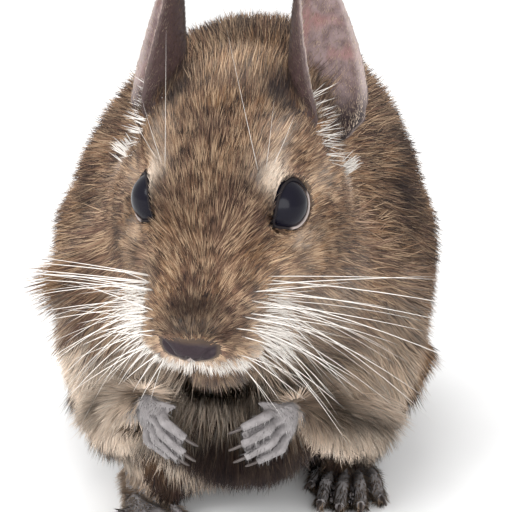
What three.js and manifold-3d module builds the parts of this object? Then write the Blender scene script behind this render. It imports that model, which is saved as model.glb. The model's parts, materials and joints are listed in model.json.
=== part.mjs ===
// A life-size degu that sits hunched on its hind feet, with its forepaws held up under its chin.
// Sizes are in millimetres. The animal faces -Y, its left side is +X and the floor is z = 0.
// The origin is the middle of the flat patch under its rump. Outlines are those of the coat's tips.
import * as THREE from 'three';
import { mergeVertices } from 'three/addons/utils/BufferGeometryUtils.js';
import Module from 'manifold-3d';

const wasm = await Module();
wasm.setup();

const vec = (x, y, z) => new THREE.Vector3(x, y, z);
const { degToRad, lerp } = THREE.MathUtils;

// Driving dimensions
const GAP = 0.3; // clear space between two neighbouring pieces
const TRUNK_CELL = 8; // rough size of a facet on the trunk
const HEAD_CELL = 3.7; // and on the head
const BACK_HEIGHT = 81; // top of the hunched back
const TRUNK_WIDTH = 71; // across the ribs, without the haunches
const SEAT_AT = vec(0, 38, 0); // the flat patch under the rump, from the floor point under the chest
const RUMP_SINK = 1.1; // how far the rump is pressed flat on the floor
const FLOOR_SINK = 0.35; // how far soles, toes and tail are pressed flat on the floor
const HEAD_YAW = degToRad(12); // the head turns to the animal's right
const HEAD_PITCH = degToRad(30); // and looks down
const EYE_MIDDLE = vec(-3.5, -41.3, 58.3); // half-way between the eyes
const EYE_RADIUS = 4.5;
const EYE_AT = vec(9.7, 0.4, 0.2); // the left eye, in the head's frame
const EAR_LENGTH = 30;
const EAR_THICKNESS = 1.15;
const TAIL_LENGTH = 112; // along its curve, from the rump to the end of its brush
const TAIL_TURN = 0.9; // how far it curves to the animal's left, in radians
const HIND_FOOT_LENGTH = 37; // from the heel to the longest toe, without its claw
const FOREPAW_LENGTH = 10.8; // from the wrist to the longest finger, without its claw
const TOE_CLAW = 3.2;
const FINGER_CLAW = 1.5;

// Distance functions: each takes a point and returns how far outside the shape it is, below 0 inside.
function ellipsoid(at, radii, turn = new THREE.Euler()) {
  const back = new THREE.Matrix4().makeRotationFromEuler(turn).setPosition(at).invert();
  return (point) => {
    const local = point.clone().applyMatrix4(back);
    const near = local.clone().divide(radii).length();
    const slope = local.divide(radii).divide(radii).length();
    return slope < 1e-9 ? -Math.min(radii.x, radii.y, radii.z) : (near * (near - 1)) / slope;
  };
}

function roundCone(from, to, fromRadius, toRadius) {
  const line = new THREE.Line3(from, to);
  const closest = vec(0, 0, 0);
  return (point) => {
    const share = line.closestPointToPointParameter(point, true);
    line.at(share, closest);
    return point.distanceTo(closest) - lerp(fromRadius, toRadius, share);
  };
}

function boxed(box) {
  const beyond = (point, axis) => Math.max(box.min[axis] - point[axis], point[axis] - box.max[axis]);
  return (point) => Math.max(beyond(point, 'x'), beyond(point, 'y'), beyond(point, 'z'));
}

function blended(reach, ...shapes) {
  return (point) =>
    shapes.reduce((nearest, shape) => {
      const other = shape(point);
      const overlap = Math.max(reach - Math.abs(nearest - other), 0) / reach;
      return Math.min(nearest, other) - (overlap * overlap * reach) / 4;
    }, Infinity);
}

const grownBy = (amount, shape) => (point) => shape(point) - amount;
const inFrame = (frame, shape) => {
  const back = frame.clone().invert();
  return (point) => shape(point.clone().applyMatrix4(back));
};
const SIDES = [1, -1]; // left and right
const bothSides = (make) => SIDES.map((side) => make(side));
const sideName = (side) => (side > 0 ? 'left' : 'right');

// Turns a distance function into a closed mesh: one vertex for each cell that the surface passes
// through and one quad for each grid edge that it crosses. Then the vertices are spread evenly.
function meshed(shape, box, cell) {
  const capped = (point) => Math.max(shape(point), boxed(box)(point));
  const origin = box.min.clone().subScalar(1.5 * cell);
  const size = box.getSize(vec(0, 0, 0));
  const [across, deep, high] = ['x', 'y', 'z'].map((axis) => Math.ceil(size[axis] / cell) + 4);
  const index = (i, j, k) => (k * deep + j) * across + i;
  const field = new Float32Array(across * deep * high);
  for (let k = 0; k < high; k++)
    for (let j = 0; j < deep; j++)
      for (let i = 0; i < across; i++)
        field[index(i, j, k)] = capped(vec(i, j, k).multiplyScalar(cell).add(origin)) || 1e-6;

  const vertexOf = new Int32Array(field.length).fill(-1);
  const places = [];
  const corners = [0, 1, 2, 3, 4, 5, 6, 7].map((n) => [n & 1, (n >> 1) & 1, (n >> 2) & 1]);
  const edges = corners.flatMap((_, a) => [1, 2, 4].filter((bit) => !(a & bit)).map((bit) => [a, a | bit]));
  for (let k = 0; k < high - 1; k++)
    for (let j = 0; j < deep - 1; j++)
      for (let i = 0; i < across - 1; i++) {
        const values = corners.map(([x, y, z]) => field[index(i + x, j + y, k + z)]);
        const crossed = edges.filter(([a, b]) => values[a] < 0 !== values[b] < 0);
        if (!crossed.length) continue;
        const sum = vec(i, j, k).multiplyScalar(crossed.length);
        for (const [a, b] of crossed)
          sum.add(vec(...corners[a]).lerp(vec(...corners[b]), values[a] / (values[a] - values[b])));
        vertexOf[index(i, j, k)] = places.length;
        places.push(sum.multiplyScalar(cell / crossed.length).add(origin));
      }

  const quads = [];
  const strides = [index(1, 0, 0), index(0, 1, 0), index(0, 0, 1)];
  for (let k = 1; k < high - 1; k++)
    for (let j = 1; j < deep - 1; j++)
      for (let i = 1; i < across - 1; i++) {
        const here = index(i, j, k);
        strides.forEach((stride, axis) => {
          const low = field[here] < 0;
          if (low === field[here + stride] < 0) return;
          const [u, v] = [strides[(axis + 1) % 3], strides[(axis + 2) % 3]];
          const ring = [here - u - v, here - v, here, here - u].map((n) => vertexOf[n]);
          quads.push(low ? ring : ring.reverse());
        });
      }
  spreadEvenly(places, quads, capped, 0.05 * cell);
  return geometryOf(places, quads.flatMap((ring) => splitQuad(ring, places)));
}

// Moves each vertex to the middle of its neighbours and back onto the surface, a few times over
function spreadEvenly(places, quads, shape, step) {
  const neighbours = places.map(() => []);
  for (const ring of quads) ring.forEach((n, corner) => neighbours[n].push(ring[(corner + 1) % 4]));
  const axes = [vec(step, 0, 0), vec(0, step, 0), vec(0, 0, step)];
  const slopeAt = (place, here) =>
    vec(...axes.map((axis) => shape(place.clone().add(axis)) - here)).divideScalar(step);
  for (let round = 0; round < 3; round++) {
    const before = places.map((place) => place.clone());
    places.forEach((place, n) => {
      const middle = vec(0, 0, 0);
      for (const other of neighbours[n]) middle.add(before[other]);
      place.lerp(middle.divideScalar(neighbours[n].length), 0.6);
      const here = shape(place);
      const slope = slopeAt(place, here);
      place.addScaledVector(slope, -here / Math.max(slope.lengthSq(), 0.3));
    });
  }
}

function splitQuad([a, b, c, d], places) {
  const oneWay = places[a].distanceTo(places[c]) < places[b].distanceTo(places[d]);
  return oneWay ? [a, b, c, a, c, d] : [b, c, d, b, d, a];
}

function geometryOf(places, faces) {
  const geometry = new THREE.BufferGeometry();
  geometry.setAttribute('position', new THREE.Float32BufferAttribute(places.flatMap((p) => p.toArray()), 3));
  return geometry.setIndex(faces);
}

// A closed tube along a smooth curve. Each station has a place, at, and half its width and height.
// up says which way is high. An end is flat, or rounded by one more ring.
function limb(stations, up, { sides = 8, rings = 6, roundStart = true, roundEnd = true } = {}) {
  const curve = new THREE.CatmullRomCurve3(stations.map((station) => station.at), false, 'centripetal');
  const last = stations.length - 1;
  const sizeAt = (share, key) => {
    const n = Math.min(Math.floor(share * last), last - 1);
    return lerp(stations[n][key], stations[n + 1][key], share * last - n);
  };
  const places = [];
  const ring = (share, shrink, beyond) => {
    const tangent = curve.getTangent(share).normalize();
    const side = vec(0, 0, 0).crossVectors(tangent, up).normalize();
    const over = vec(0, 0, 0).crossVectors(side, tangent);
    for (let n = 0; n < sides; n++) {
      const angle = (2 * Math.PI * (n + 0.5)) / sides;
      const place = curve.getPoint(share).addScaledVector(tangent, beyond);
      place.addScaledVector(side, Math.cos(angle) * shrink * sizeAt(share, 'wide'));
      places.push(place.addScaledVector(over, Math.sin(angle) * shrink * sizeAt(share, 'high')));
    }
  };
  const bulge = (share) => 0.6 * Math.min(sizeAt(share, 'wide'), sizeAt(share, 'high'));
  if (roundStart) ring(0, 0.68, -0.8 * bulge(0));
  for (let n = 0; n < rings; n++) ring(n / (rings - 1), 1, 0);
  if (roundEnd) ring(1, 0.68, 0.8 * bulge(1));
  const rows = places.length / sides;
  const startTip = curve.getPoint(0).addScaledVector(curve.getTangent(0), roundStart ? -bulge(0) : 0);
  const endTip = curve.getPoint(1).addScaledVector(curve.getTangent(1), roundEnd ? bulge(1) : 0);
  places.push(startTip, endTip);
  const faces = [];
  for (let n = 0; n < sides; n++) {
    const next = (n + 1) % sides;
    for (let row = 0; row < rows - 1; row++) {
      const [a, b] = [row * sides + n, row * sides + next];
      faces.push(a, b, b + sides, a, b + sides, a + sides);
    }
    faces.push(places.length - 2, next, n);
    faces.push(places.length - 1, (rows - 1) * sides + n, (rows - 1) * sides + next);
  }
  return geometryOf(places, faces);
}

// Solids: joining and cutting
function solid(geometry) {
  const bare = geometry.clone();
  for (const name of Object.keys(bare.attributes)) if (name !== 'position') bare.deleteAttribute(name);
  const merged = mergeVertices(bare, 1e-4);
  const vertProperties = merged.attributes.position.array;
  const faces = new Uint32Array(merged.index.array);
  const closed = (triVerts) => new wasm.Manifold(new wasm.Mesh({ numProp: 3, vertProperties, triVerts }));
  const made = closed(faces);
  return made.volume() > 0 ? made : closed(faces.slice().reverse());
}

// The same mesh with each vertex moved outwards
function swollen(geometry, amount) {
  const wider = geometry.clone();
  wider.computeVertexNormals();
  const { position, normal } = wider.attributes;
  for (let n = 0; n < position.count; n++) {
    const place = vec(0, 0, 0).fromBufferAttribute(position, n);
    place.addScaledVector(vec(0, 0, 0).fromBufferAttribute(normal, n), amount);
    position.setXYZ(n, ...place.toArray());
  }
  return wider;
}

const joined = (...solids) => solids.reduce((all, next) => all.add(next));
const larger = (one, other) => (other.volume() > one.volume() ? other : one);
const largest = (made) => made.decompose().reduce(larger);

// Keeps what lies ahead of a cut: a plane through cut.at that faces cut.front
const aheadOf = (made, cut, clear = GAP / 2) => {
  const normal = cut.front.clone().normalize();
  return made.trimByPlane(normal.toArray(), cut.at.dot(normal) + clear);
};
const behind = (made, cut, clear = GAP / 2) =>
  aheadOf(made, { at: cut.at, front: cut.front.clone().negate() }, clear);
const onFloor = (made) => made.trimByPlane([0, 0, 1], 0);

// An ellipsoid or a ball as a solid, grown all round by some millimetres
function ellipsoidSolid({ at, radii, turn = new THREE.Euler() }, grown = 0, wide = 16, high = 12) {
  const shape = new THREE.SphereGeometry(1, wide, high);
  shape.scale(radii.x + grown, radii.y + grown, radii.z + grown);
  return solid(shape.applyMatrix4(new THREE.Matrix4().makeRotationFromEuler(turn).setPosition(at)));
}
const ball = (at, radius, wide, high) =>
  ellipsoidSolid({ at, radii: vec(radius, radius, radius) }, 0, wide, high);

// The head's frame: x to the animal's left, y along the line of sight, z out of the crown
const ahead = vec(
  -Math.sin(HEAD_YAW) * Math.cos(HEAD_PITCH),
  -Math.cos(HEAD_YAW) * Math.cos(HEAD_PITCH),
  -Math.sin(HEAD_PITCH),
);
const leftward = vec(Math.cos(HEAD_YAW), -Math.sin(HEAD_YAW), 0);
const crownward = vec(0, 0, 0).crossVectors(ahead, leftward);
const headFrame = new THREE.Matrix4().makeBasis(leftward, ahead, crownward).setPosition(EYE_MIDDLE);
const onHead = (x, y, z) => vec(x, y, z).applyMatrix4(headFrame);
const headward = (x, y, z) => vec(x, y, z).transformDirection(headFrame);

// The head's outline, in its own frame
const headShape = inFrame(
  headFrame,
  blended(
    4,
    ellipsoid(vec(0, -9.5, -1.5), vec(13.8, 18, 11.6)), // cranium
    ellipsoid(vec(0, -3.5, 1.2), vec(9.6, 15, 7)), // forehead
    roundCone(vec(0, 3, -5.2), vec(0, 17.6, -8), 10.2, 6.6), // muzzle
    ellipsoid(vec(0, 21.4, -6.8), vec(4.6, 3.5, 3.6)), // end of the nose
    roundCone(vec(0, -3, -14.5), vec(0, 15.8, -17.4), 7.8, 4), // lower jaw
    ...bothSides((side) => ellipsoid(vec(side * 7.9, -1.5, 4.2), vec(4.2, 7.5, 3.6))), // brow over each eye
    ...bothSides((side) => ellipsoid(vec(side * 8.5, 1.5, -6.8), vec(4.9, 9, 4.4))), // cheekbone under it
    ...bothSides((side) => ellipsoid(vec(side * 8.2, -5, -9.6), vec(8.6, 13.4, 9.6))), // cheek
    ...bothSides((side) => ellipsoid(vec(side * 5, 15.8, -10.2), vec(4.9, 6.8, 5))), // whisker pad
  ),
);

// The body's outline
const RIB_MIDDLE = vec(0, 20, 38);
const WITHERS = vec(-2, -14, 50);
const trunkShape = blended(
  13,
  ellipsoid(RIB_MIDDLE, vec(TRUNK_WIDTH / 2, 36, 36)), // ribs
  ellipsoid(vec(3, 22, 50), vec(25, 33, BACK_HEIGHT - 51)), // back, a little to the left
  ellipsoid(vec(0, SEAT_AT.y + 6, 32.9 - RUMP_SINK), vec(31, 31, 32)), // rump
  ellipsoid(vec(-1, -11, 33), vec(25.5, 24, 24.5)), // chest
  ellipsoid(vec(0, -25, 18.5), vec(18, 16, 14.5)), // brisket
  ellipsoid(WITHERS, vec(19.5, 19.5, 18.5)),
);
const neckShape = roundCone(WITHERS, onHead(0, -12, -4), 18, 13);
const tailRootShape = roundCone(vec(0, 66, 12), vec(1.5, 82, 5.5), 9.5, 4.4);
const haunch = (side) => ({
  at: side > 0 ? vec(25.4, 17, 28) : vec(-24.6, 13, 28),
  radii: vec(11.6, 26, 18.5),
  turn: new THREE.Euler(0.42, 0, side * -0.1),
});
const shoulder = (side) => ({
  at: side > 0 ? vec(23.5, -12, 29) : vec(-24.5, -14, 29),
  radii: vec(9, 14, 16),
  turn: new THREE.Euler(-0.35, 0, side * 0.15),
});
// What parts such a limb from the trunk: the same ellipsoid, widened well past the flank
const widened = ({ at, radii, turn }, side) => ({
  at: at.clone().add(vec(side * 7, 0, 0)),
  radii: radii.clone().add(vec(7, 0.5, 0.5)),
  turn,
});
// A shank runs from the knee back to the hock, and its fur forward to the instep.
const shankShape = (side) => {
  const knee = side > 0 ? vec(23, 0, 18) : vec(-20.5, -9, 19);
  const instep = side > 0 ? vec(19, -13, 7) : vec(-14.6, -27, 7.5);
  const hock = side > 0 ? vec(21.5, 5, 6.4) : vec(-20.6, -11, 6.4);
  return blended(5, roundCone(knee, instep, 10, 5.4), roundCone(knee, hock, 9, 4.6));
};
const limbShapes = [haunch, shoulder].flatMap((place) =>
  bothSides((side) => ellipsoid(place(side).at, place(side).radii, place(side).turn)),
);
const bodyShape = blended(
  8,
  blended(10, trunkShape, neckShape, headShape),
  ...limbShapes,
  ...bothSides(shankShape),
  tailRootShape,
);

// Where the body is parted
const NAPE_CUT = { at: onHead(0, -20, 0), front: headward(0, 1, 0.6) };
const JAW_CUT = { at: onHead(0, -5, -24), front: headward(0, 0.05, 1) };
const NECK_CUT = { at: vec(-2, -19, 54.5), front: vec(0, -0.82, 0.57) };
const TAIL_CUT = { at: vec(0.5, 75, 8), front: vec(0.1, 1, -0.45) };
const box = (low, high) => new THREE.Box3(vec(...low), vec(...high));

const pieceColours = {
  coat: new THREE.MeshStandardMaterial({ color: 0x85705a, roughness: 0.85, metalness: 0 }),
  paleCoat: new THREE.MeshStandardMaterial({ color: 0xb9ab97, roughness: 0.85, metalness: 0 }),
  ear: new THREE.MeshStandardMaterial({ color: 0x8d7c78, roughness: 0.7, metalness: 0 }),
  nose: new THREE.MeshStandardMaterial({ color: 0x43363a, roughness: 0.5, metalness: 0 }),
  eye: new THREE.MeshStandardMaterial({ color: 0x0b0a0e, roughness: 0.05, metalness: 0 }),
  paw: new THREE.MeshStandardMaterial({ color: 0x9a9794, roughness: 0.75, metalness: 0 }),
  claw: new THREE.MeshStandardMaterial({ color: 0x55473c, roughness: 0.4, metalness: 0 }),
  tail: new THREE.MeshStandardMaterial({ color: 0x5f4c3d, roughness: 0.85, metalness: 0 }),
  tailBrush: new THREE.MeshStandardMaterial({ color: 0x1f1a18, roughness: 0.85, metalness: 0 }),
};
const degu = new THREE.Group();
degu.name = 'degu';
degu.position.copy(SEAT_AT).negate();

function addPiece(name, made, material) {
  const { numProp, numVert, vertProperties, triVerts } = largest(made).getMesh();
  const positions = new Float32Array(numVert * 3);
  for (let n = 0; n < numVert; n++)
    positions.set(vertProperties.subarray(n * numProp, n * numProp + 3), n * 3);
  const geometry = new THREE.BufferGeometry();
  geometry.setAttribute('position', new THREE.BufferAttribute(positions, 3));
  geometry.setIndex(new THREE.BufferAttribute(triVerts, 1));
  geometry.computeVertexNormals();
  const mesh = new THREE.Mesh(geometry, material);
  mesh.name = name;
  degu.add(mesh);
}

// Eyes: balls in sockets that open to the side
const eyeAt = (side) => onHead(side * EYE_AT.x, EYE_AT.y, EYE_AT.z);
const socket = (side) => {
  const outside = eyeAt(side).addScaledVector(headward(side * 0.82, 0.38, 0.4), 4.4);
  return joined(ball(eyeAt(side), EYE_RADIUS + GAP, 14, 9), ball(outside, 4.9, 12, 8));
};
for (const side of SIDES)
  addPiece(`eye_${sideName(side)}`, ball(eyeAt(side), EYE_RADIUS, 14, 9), pieceColours.eye);

// The nose: a bare pad across the end of the muzzle
const nosePad = (grown) => {
  const at = vec(0, 23.6, -7.8);
  const shape = new THREE.SphereGeometry(1, 12, 8);
  shape.scale(4.1 + grown, 1.9 + grown, 2 + grown);
  shape.rotateX(0.35);
  return solid(shape.translate(at.x, at.y, at.z).applyMatrix4(headFrame));
};
addPiece('nose', nosePad(0), pieceColours.nose);

// Ears: a leaf of even thickness, curled to a tube at its root. across runs from the front edge to
// the rear one, -1 to 1, and along from root to tip, 0 to 1.
const earFrame = (side) => {
  const root = onHead(side * 12.9, -15.5, -1);
  const lengthwise = vec(side > 0 ? -0.05 : 0.08, 0.24, 0.97).normalize();
  const facing = headward(side * 0.86, 0.5, 0);
  const sideways = vec(0, 0, 0).crossVectors(facing, lengthwise).normalize();
  facing.crossVectors(lengthwise, sideways);
  return new THREE.Matrix4().makeBasis(sideways, facing, lengthwise).setPosition(root);
};
function earPoint(across, along, depth) {
  const curl = lerp(2.2, 0.8, along ** 0.55); // half the arc, in radians
  const leaf = 3.6 + 5 * Math.sin(Math.PI * along ** 0.72) ** 0.9; // half the width, seen flat
  const tip = along > 0.7 ? Math.sqrt(1 - ((along - 0.7) / 0.305) ** 2) : 1;
  const radius = Math.max((leaf * tip) / Math.sin(Math.min(curl, Math.PI / 2)), 0.8);
  const angle = across * curl;
  const spread = radius + depth;
  const middle = radius * Math.cos(0.6 * curl);
  return vec(spread * Math.sin(angle), middle - spread * Math.cos(angle), along * EAR_LENGTH);
}
function ear(side) {
  const [wide, high] = [8, 9];
  const places = [];
  for (const layer of [0.5, -0.5])
    for (let row = 0; row <= high; row++)
      for (let n = 0; n <= wide; n++) {
        const thickness = EAR_THICKNESS * (1 - (0.35 * row) / high);
        places.push(earPoint((2 * n) / wide - 1, row / high, layer * thickness));
      }
  const at = (layer, row, n) => (layer * (high + 1) + row) * (wide + 1) + n;
  const faces = [];
  const quad = (a, b, c, d) => faces.push(a, b, c, a, c, d);
  for (let row = 0; row < high; row++) {
    for (let n = 0; n < wide; n++) {
      quad(at(0, row, n), at(0, row, n + 1), at(0, row + 1, n + 1), at(0, row + 1, n));
      quad(at(1, row, n), at(1, row + 1, n), at(1, row + 1, n + 1), at(1, row, n + 1));
    }
    quad(at(0, row, 0), at(0, row + 1, 0), at(1, row + 1, 0), at(1, row, 0));
    quad(at(0, row, wide), at(1, row, wide), at(1, row + 1, wide), at(0, row + 1, wide));
  }
  for (let n = 0; n < wide; n++) {
    quad(at(0, 0, n), at(1, 0, n), at(1, 0, n + 1), at(0, 0, n + 1));
    quad(at(0, high, n), at(0, high, n + 1), at(1, high, n + 1), at(1, high, n));
  }
  const mirrored = new THREE.Matrix4().makeScale(side, 1, 1);
  return solid(geometryOf(places, faces).applyMatrix4(mirrored).applyMatrix4(earFrame(side)));
}

// The head, from the nape to the nose and down to the jaw
const headRoom = (clear) => {
  const block = new THREE.BoxGeometry(100, 100, 100).toNonIndexed().translate(0, 25, 20);
  return aheadOf(aheadOf(solid(block.applyMatrix4(headFrame)), NAPE_CUT, clear), JAW_CUT, clear);
};
const fineBody = solid(meshed(bodyShape, box([-30, -66, 20], [26, 4, 86]), HEAD_CELL));
let head = fineBody.intersect(headRoom(GAP / 2)).subtract(nosePad(GAP));
for (const side of SIDES) head = head.subtract(socket(side));
addPiece('head', head, pieceColours.coat);
const scalp = solid(meshed(grownBy(GAP + 0.15, bodyShape), box([-30, -46, 50], [26, 4, 92]), 4));
for (const side of SIDES) addPiece(`ear_${sideName(side)}`, ear(side).subtract(scalp), pieceColours.ear);

// Hind feet: a flat-soled foot with five toes. In its frame x runs to the animal's outer side, y
// from the heel to the toes and z up.
const footFrame = (side) => {
  const heel = side > 0 ? vec(21.2, 7.5, 0) : vec(-20, -11.5, 0);
  const toes = side > 0 ? vec(16.4, -29.5, 0) : vec(-13.6, -48, 0);
  const lengthwise = toes.sub(heel).normalize();
  const outward = vec(0, 0, 0).crossVectors(lengthwise, vec(0, 0, 1)).multiplyScalar(-side);
  return new THREE.Matrix4().makeBasis(outward, lengthwise, vec(0, 0, 1)).setPosition(heel);
};
const placed = (frame, stations) =>
  stations.map(({ at, ...sizes }) => ({ at: at.clone().applyMatrix4(frame), ...sizes }));
const UP = vec(0, 0, 1);
const rested = (x, y, wide, high) => ({ at: vec(x, y, 0.924 * high - FLOOR_SINK), wide, high });
const sole = (side, grown) =>
  solid(
    limb(
      placed(footFrame(side), [
        rested(0, 2.2, 2.7 + grown, 2.7 + grown),
        rested(0, 9, 3 + grown, 2.9 + grown),
        rested(0, 18, 4 + grown, 2.7 + grown),
        rested(0, 25.5, 5 + grown, 2.3 + grown),
      ]),
      UP,
      { rings: 4 },
    ),
  );
const TOES = [
  { root: vec(-3.6, 20, 2.1), tip: vec(-5.8, 28, 0) },
  { root: vec(-2.4, 24, 2.2), tip: vec(-3.4, HIND_FOOT_LENGTH - 1.2, 0) },
  { root: vec(0, 24.5, 2.3), tip: vec(0, HIND_FOOT_LENGTH, 0) },
  { root: vec(2.4, 24, 2.2), tip: vec(3.6, HIND_FOOT_LENGTH - 1.2, 0) },
  { root: vec(3.7, 21.5, 2.1), tip: vec(7, 32.5, 0) },
];
const toeStations = ({ root, tip }) => [
  { at: root, wide: 1.6, high: 1.7 },
  { at: root.clone().lerp(tip, 0.5).setZ(2.7), wide: 1.35, high: 1.5 },
  rested(lerp(root.x, tip.x, 0.82), lerp(root.y, tip.y, 0.82), 1.4, 1.35),
  { at: tip.clone().setZ(1.5), wide: 0.95, high: 0.95 },
];

// A claw that goes on from the last station of a toe or finger and bends down
function claw(stations, up, length) {
  const end = stations[stations.length - 1];
  const forward = end.at.clone().sub(stations[stations.length - 2].at).normalize();
  const from = end.at.clone().addScaledVector(forward, GAP);
  const along = (share, rise) => {
    const place = from.clone().addScaledVector(forward, share * length);
    return place.addScaledVector(up, rise * length);
  };
  const thick = 0.62 * end.high;
  return solid(
    limb(
      [
        { at: along(0, 0), wide: 0.8 * thick, high: thick },
        { at: along(0.5, -0.02), wide: 0.6 * thick, high: 0.75 * thick },
        { at: along(0.95, -0.28), wide: 0.22, high: 0.24 },
      ],
      up,
      { sides: 4, rings: 3, roundStart: false, roundEnd: false },
    ),
  );
}
const digitOf = (stations, up) =>
  solid(limb(stations, up, { sides: 5, rings: stations.length, roundStart: false, roundEnd: false }));

for (const side of SIDES) {
  let foot = sole(side, 0);
  TOES.forEach((toe, n) => {
    const stations = placed(footFrame(side), toeStations(toe));
    foot = foot.add(digitOf(stations, UP));
    addPiece(`toe_claw_${sideName(side)}_${n + 1}`, claw(stations, UP, TOE_CLAW), pieceColours.claw);
  });
  addPiece(`hind_foot_${sideName(side)}`, onFloor(foot), pieceColours.paw);
}

// Forelegs: a forearm, then a palm with four curled fingers and a short thumb. In a paw's frame x
// runs across it, y from the wrist to the fingers and z out of its back.
const LEFT_FORELEG = {
  elbow: vec(20.5, -25, 15.5),
  wrist: vec(8, -43.5, 24.8),
  fingers: vec(-0.64, -0.6, -0.46),
  back: vec(0.66, -0.74, 0.1),
};
const RIGHT_FORELEG = {
  elbow: vec(-21, -27, 17.5),
  wrist: vec(-15.4, -44, 26.6),
  fingers: vec(0.42, -0.54, -0.72),
  back: vec(-0.8, -0.6, 0),
};
const foreleg = (side) => (side > 0 ? LEFT_FORELEG : RIGHT_FORELEG);
const pawFrame = (side) => {
  const { wrist, fingers, back } = foreleg(side);
  const lengthwise = fingers.clone().normalize();
  const across = vec(0, 0, 0).crossVectors(lengthwise, back).normalize();
  const over = vec(0, 0, 0).crossVectors(across, lengthwise);
  return new THREE.Matrix4().makeBasis(across, lengthwise, over).setPosition(wrist);
};
const wristCut = (side) => {
  const { elbow, wrist, fingers } = foreleg(side);
  return { at: wrist, front: fingers.clone().normalize().add(wrist.clone().sub(elbow).normalize()) };
};
const FINGER_REACH = [0.86, 1, 0.97, 0.84];
const fingerStations = (n) => {
  const x = (n - 1.5) * 2.25;
  const tip = FINGER_REACH[n] * FOREPAW_LENGTH;
  return [
    { at: vec(0.75 * x, 3.4, 0), wide: 1.05, high: 1.25 },
    { at: vec(0.98 * x, 0.6 * tip, 0.5), wide: 0.95, high: 1.1 },
    { at: vec(x, tip, -1.8), wide: 0.75, high: 0.8 },
  ];
};
for (const side of SIDES) {
  const frame = pawFrame(side);
  const over = vec(0, 0, 1).transformDirection(frame);
  const inner = vec(-side, 0, 0).dot(vec(1, 0, 0).transformDirection(frame)) > 0 ? 1 : -1;
  const palm = placed(frame, [
    { at: vec(0, 0.5, 0), wide: 2.4, high: 2.1 },
    { at: vec(0, 2.4, 0.2), wide: 3.4, high: 2.2 },
    { at: vec(0, 4.8, 0), wide: 3.7, high: 1.7 },
  ]);
  const thumb = placed(frame, [
    { at: vec(inner * 2.6, 2.4, -0.6), wide: 1.2, high: 1.2 },
    { at: vec(inner * 4.4, 4, -1.6), wide: 0.8, high: 0.8 },
  ]);
  let paw = joined(
    solid(limb(palm, over, { sides: 7, rings: 3 })),
    solid(limb(thumb, over, { sides: 5, rings: 2, roundStart: false })),
  );
  FINGER_REACH.forEach((_, n) => {
    const stations = placed(frame, fingerStations(n));
    paw = paw.add(digitOf(stations, over));
    addPiece(`finger_claw_${sideName(side)}_${n + 1}`, claw(stations, over, FINGER_CLAW), pieceColours.claw);
  });
  addPiece(`forepaw_${sideName(side)}`, aheadOf(paw, wristCut(side)), pieceColours.paw);
}

// The trunk with the neck, haunches, shanks and upper arms, each parted by a thin cut
const bodyBox = box([-48, -50, -6], [48, 92, 92]);
const wholeBody = onFloor(solid(meshed(bodyShape, bodyBox, TRUNK_CELL)));
const LEG_BOX = box([-46, -46, -12], [46, 20, 44]);
const afterHead = wholeBody.subtract(headRoom(-GAP / 2)).subtract(joined(sole(1, GAP), sole(-1, GAP)));
addPiece('neck', aheadOf(afterHead, NECK_CUT), pieceColours.coat);
const clearOfBody = solid(meshed(grownBy(GAP + 0.25, bodyShape), box([-40, -60, 0], [40, 0, 44]), 5));
let trunk = behind(behind(afterHead, NECK_CUT), TAIL_CUT);
for (const side of SIDES) {
  const haunchTool = (grown) => ellipsoidSolid(widened(haunch(side), side), grown, 10, 7);
  const shoulderTool = (grown) => ellipsoidSolid(widened(shoulder(side), side), grown, 9, 6);
  const shankMesh = meshed(grownBy(2.2, shankShape(side)), LEG_BOX, 7);
  const shankTool = (grown) => solid(swollen(shankMesh, grown));
  const lowerLeg = afterHead.intersect(shankTool(0));
  const upperLeg = afterHead.intersect(haunchTool(0)).subtract(shankTool(GAP));
  const upperArm = behind(afterHead, NECK_CUT).intersect(shoulderTool(0));
  addPiece(`shank_${sideName(side)}`, lowerLeg, pieceColours.coat);
  addPiece(`thigh_${sideName(side)}`, upperLeg, pieceColours.coat);
  const armCuts = joined(haunchTool(GAP), shankTool(GAP));
  addPiece(`upper_arm_${sideName(side)}`, upperArm.subtract(armCuts), pieceColours.coat);
  trunk = trunk.subtract(joined(armCuts, shoulderTool(GAP)));

  const { elbow, wrist } = foreleg(side);
  const forearm = limb(
    [
      { at: elbow, wide: 6.5, high: 6.5 },
      { at: elbow.clone().lerp(wrist, 0.55).add(vec(0, 0, -0.8)), wide: 4.6, high: 4.6 },
      { at: wrist, wide: 2.9, high: 2.7 },
    ],
    UP,
    { sides: 9, rings: 4, roundEnd: false },
  );
  const shortened = behind(solid(forearm), wristCut(side));
  addPiece(`forearm_${sideName(side)}`, shortened.subtract(clearOfBody), pieceColours.paleCoat);
}
addPiece('trunk', trunk, pieceColours.coat);

// The tail lies on the floor behind, curved to the left, and ends in a black brush
const TAIL_ROOT = vec(0.8, 77, 0);
const tailRadius = (share) => {
  const brush = 1.4 * Math.exp(-(((share - 0.84) / 0.12) ** 2));
  return lerp(4.6, 3.1, Math.min(share / 0.5, 1)) + brush - 24 * Math.max(share - 0.9, 0);
};
const tailStation = (share) => {
  const bend = TAIL_LENGTH / TAIL_TURN; // radius of the arc that it lies in
  const angle = share * TAIL_TURN;
  const radius = tailRadius(share);
  const lift = 4.2 * (1 - THREE.MathUtils.smoothstep(share, -0.05, 0.2));
  const sideways = bend * (1 - Math.cos(angle));
  return {
    at: TAIL_ROOT.clone().add(vec(sideways, bend * Math.sin(angle), 0.924 * radius - FLOOR_SINK + lift)),
    wide: radius,
    high: radius,
  };
};
const tailEnds = { tail_base: [-0.05, 0.32], tail_middle: [0.32, 0.66], tail_brush: [0.66, 1] };
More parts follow.
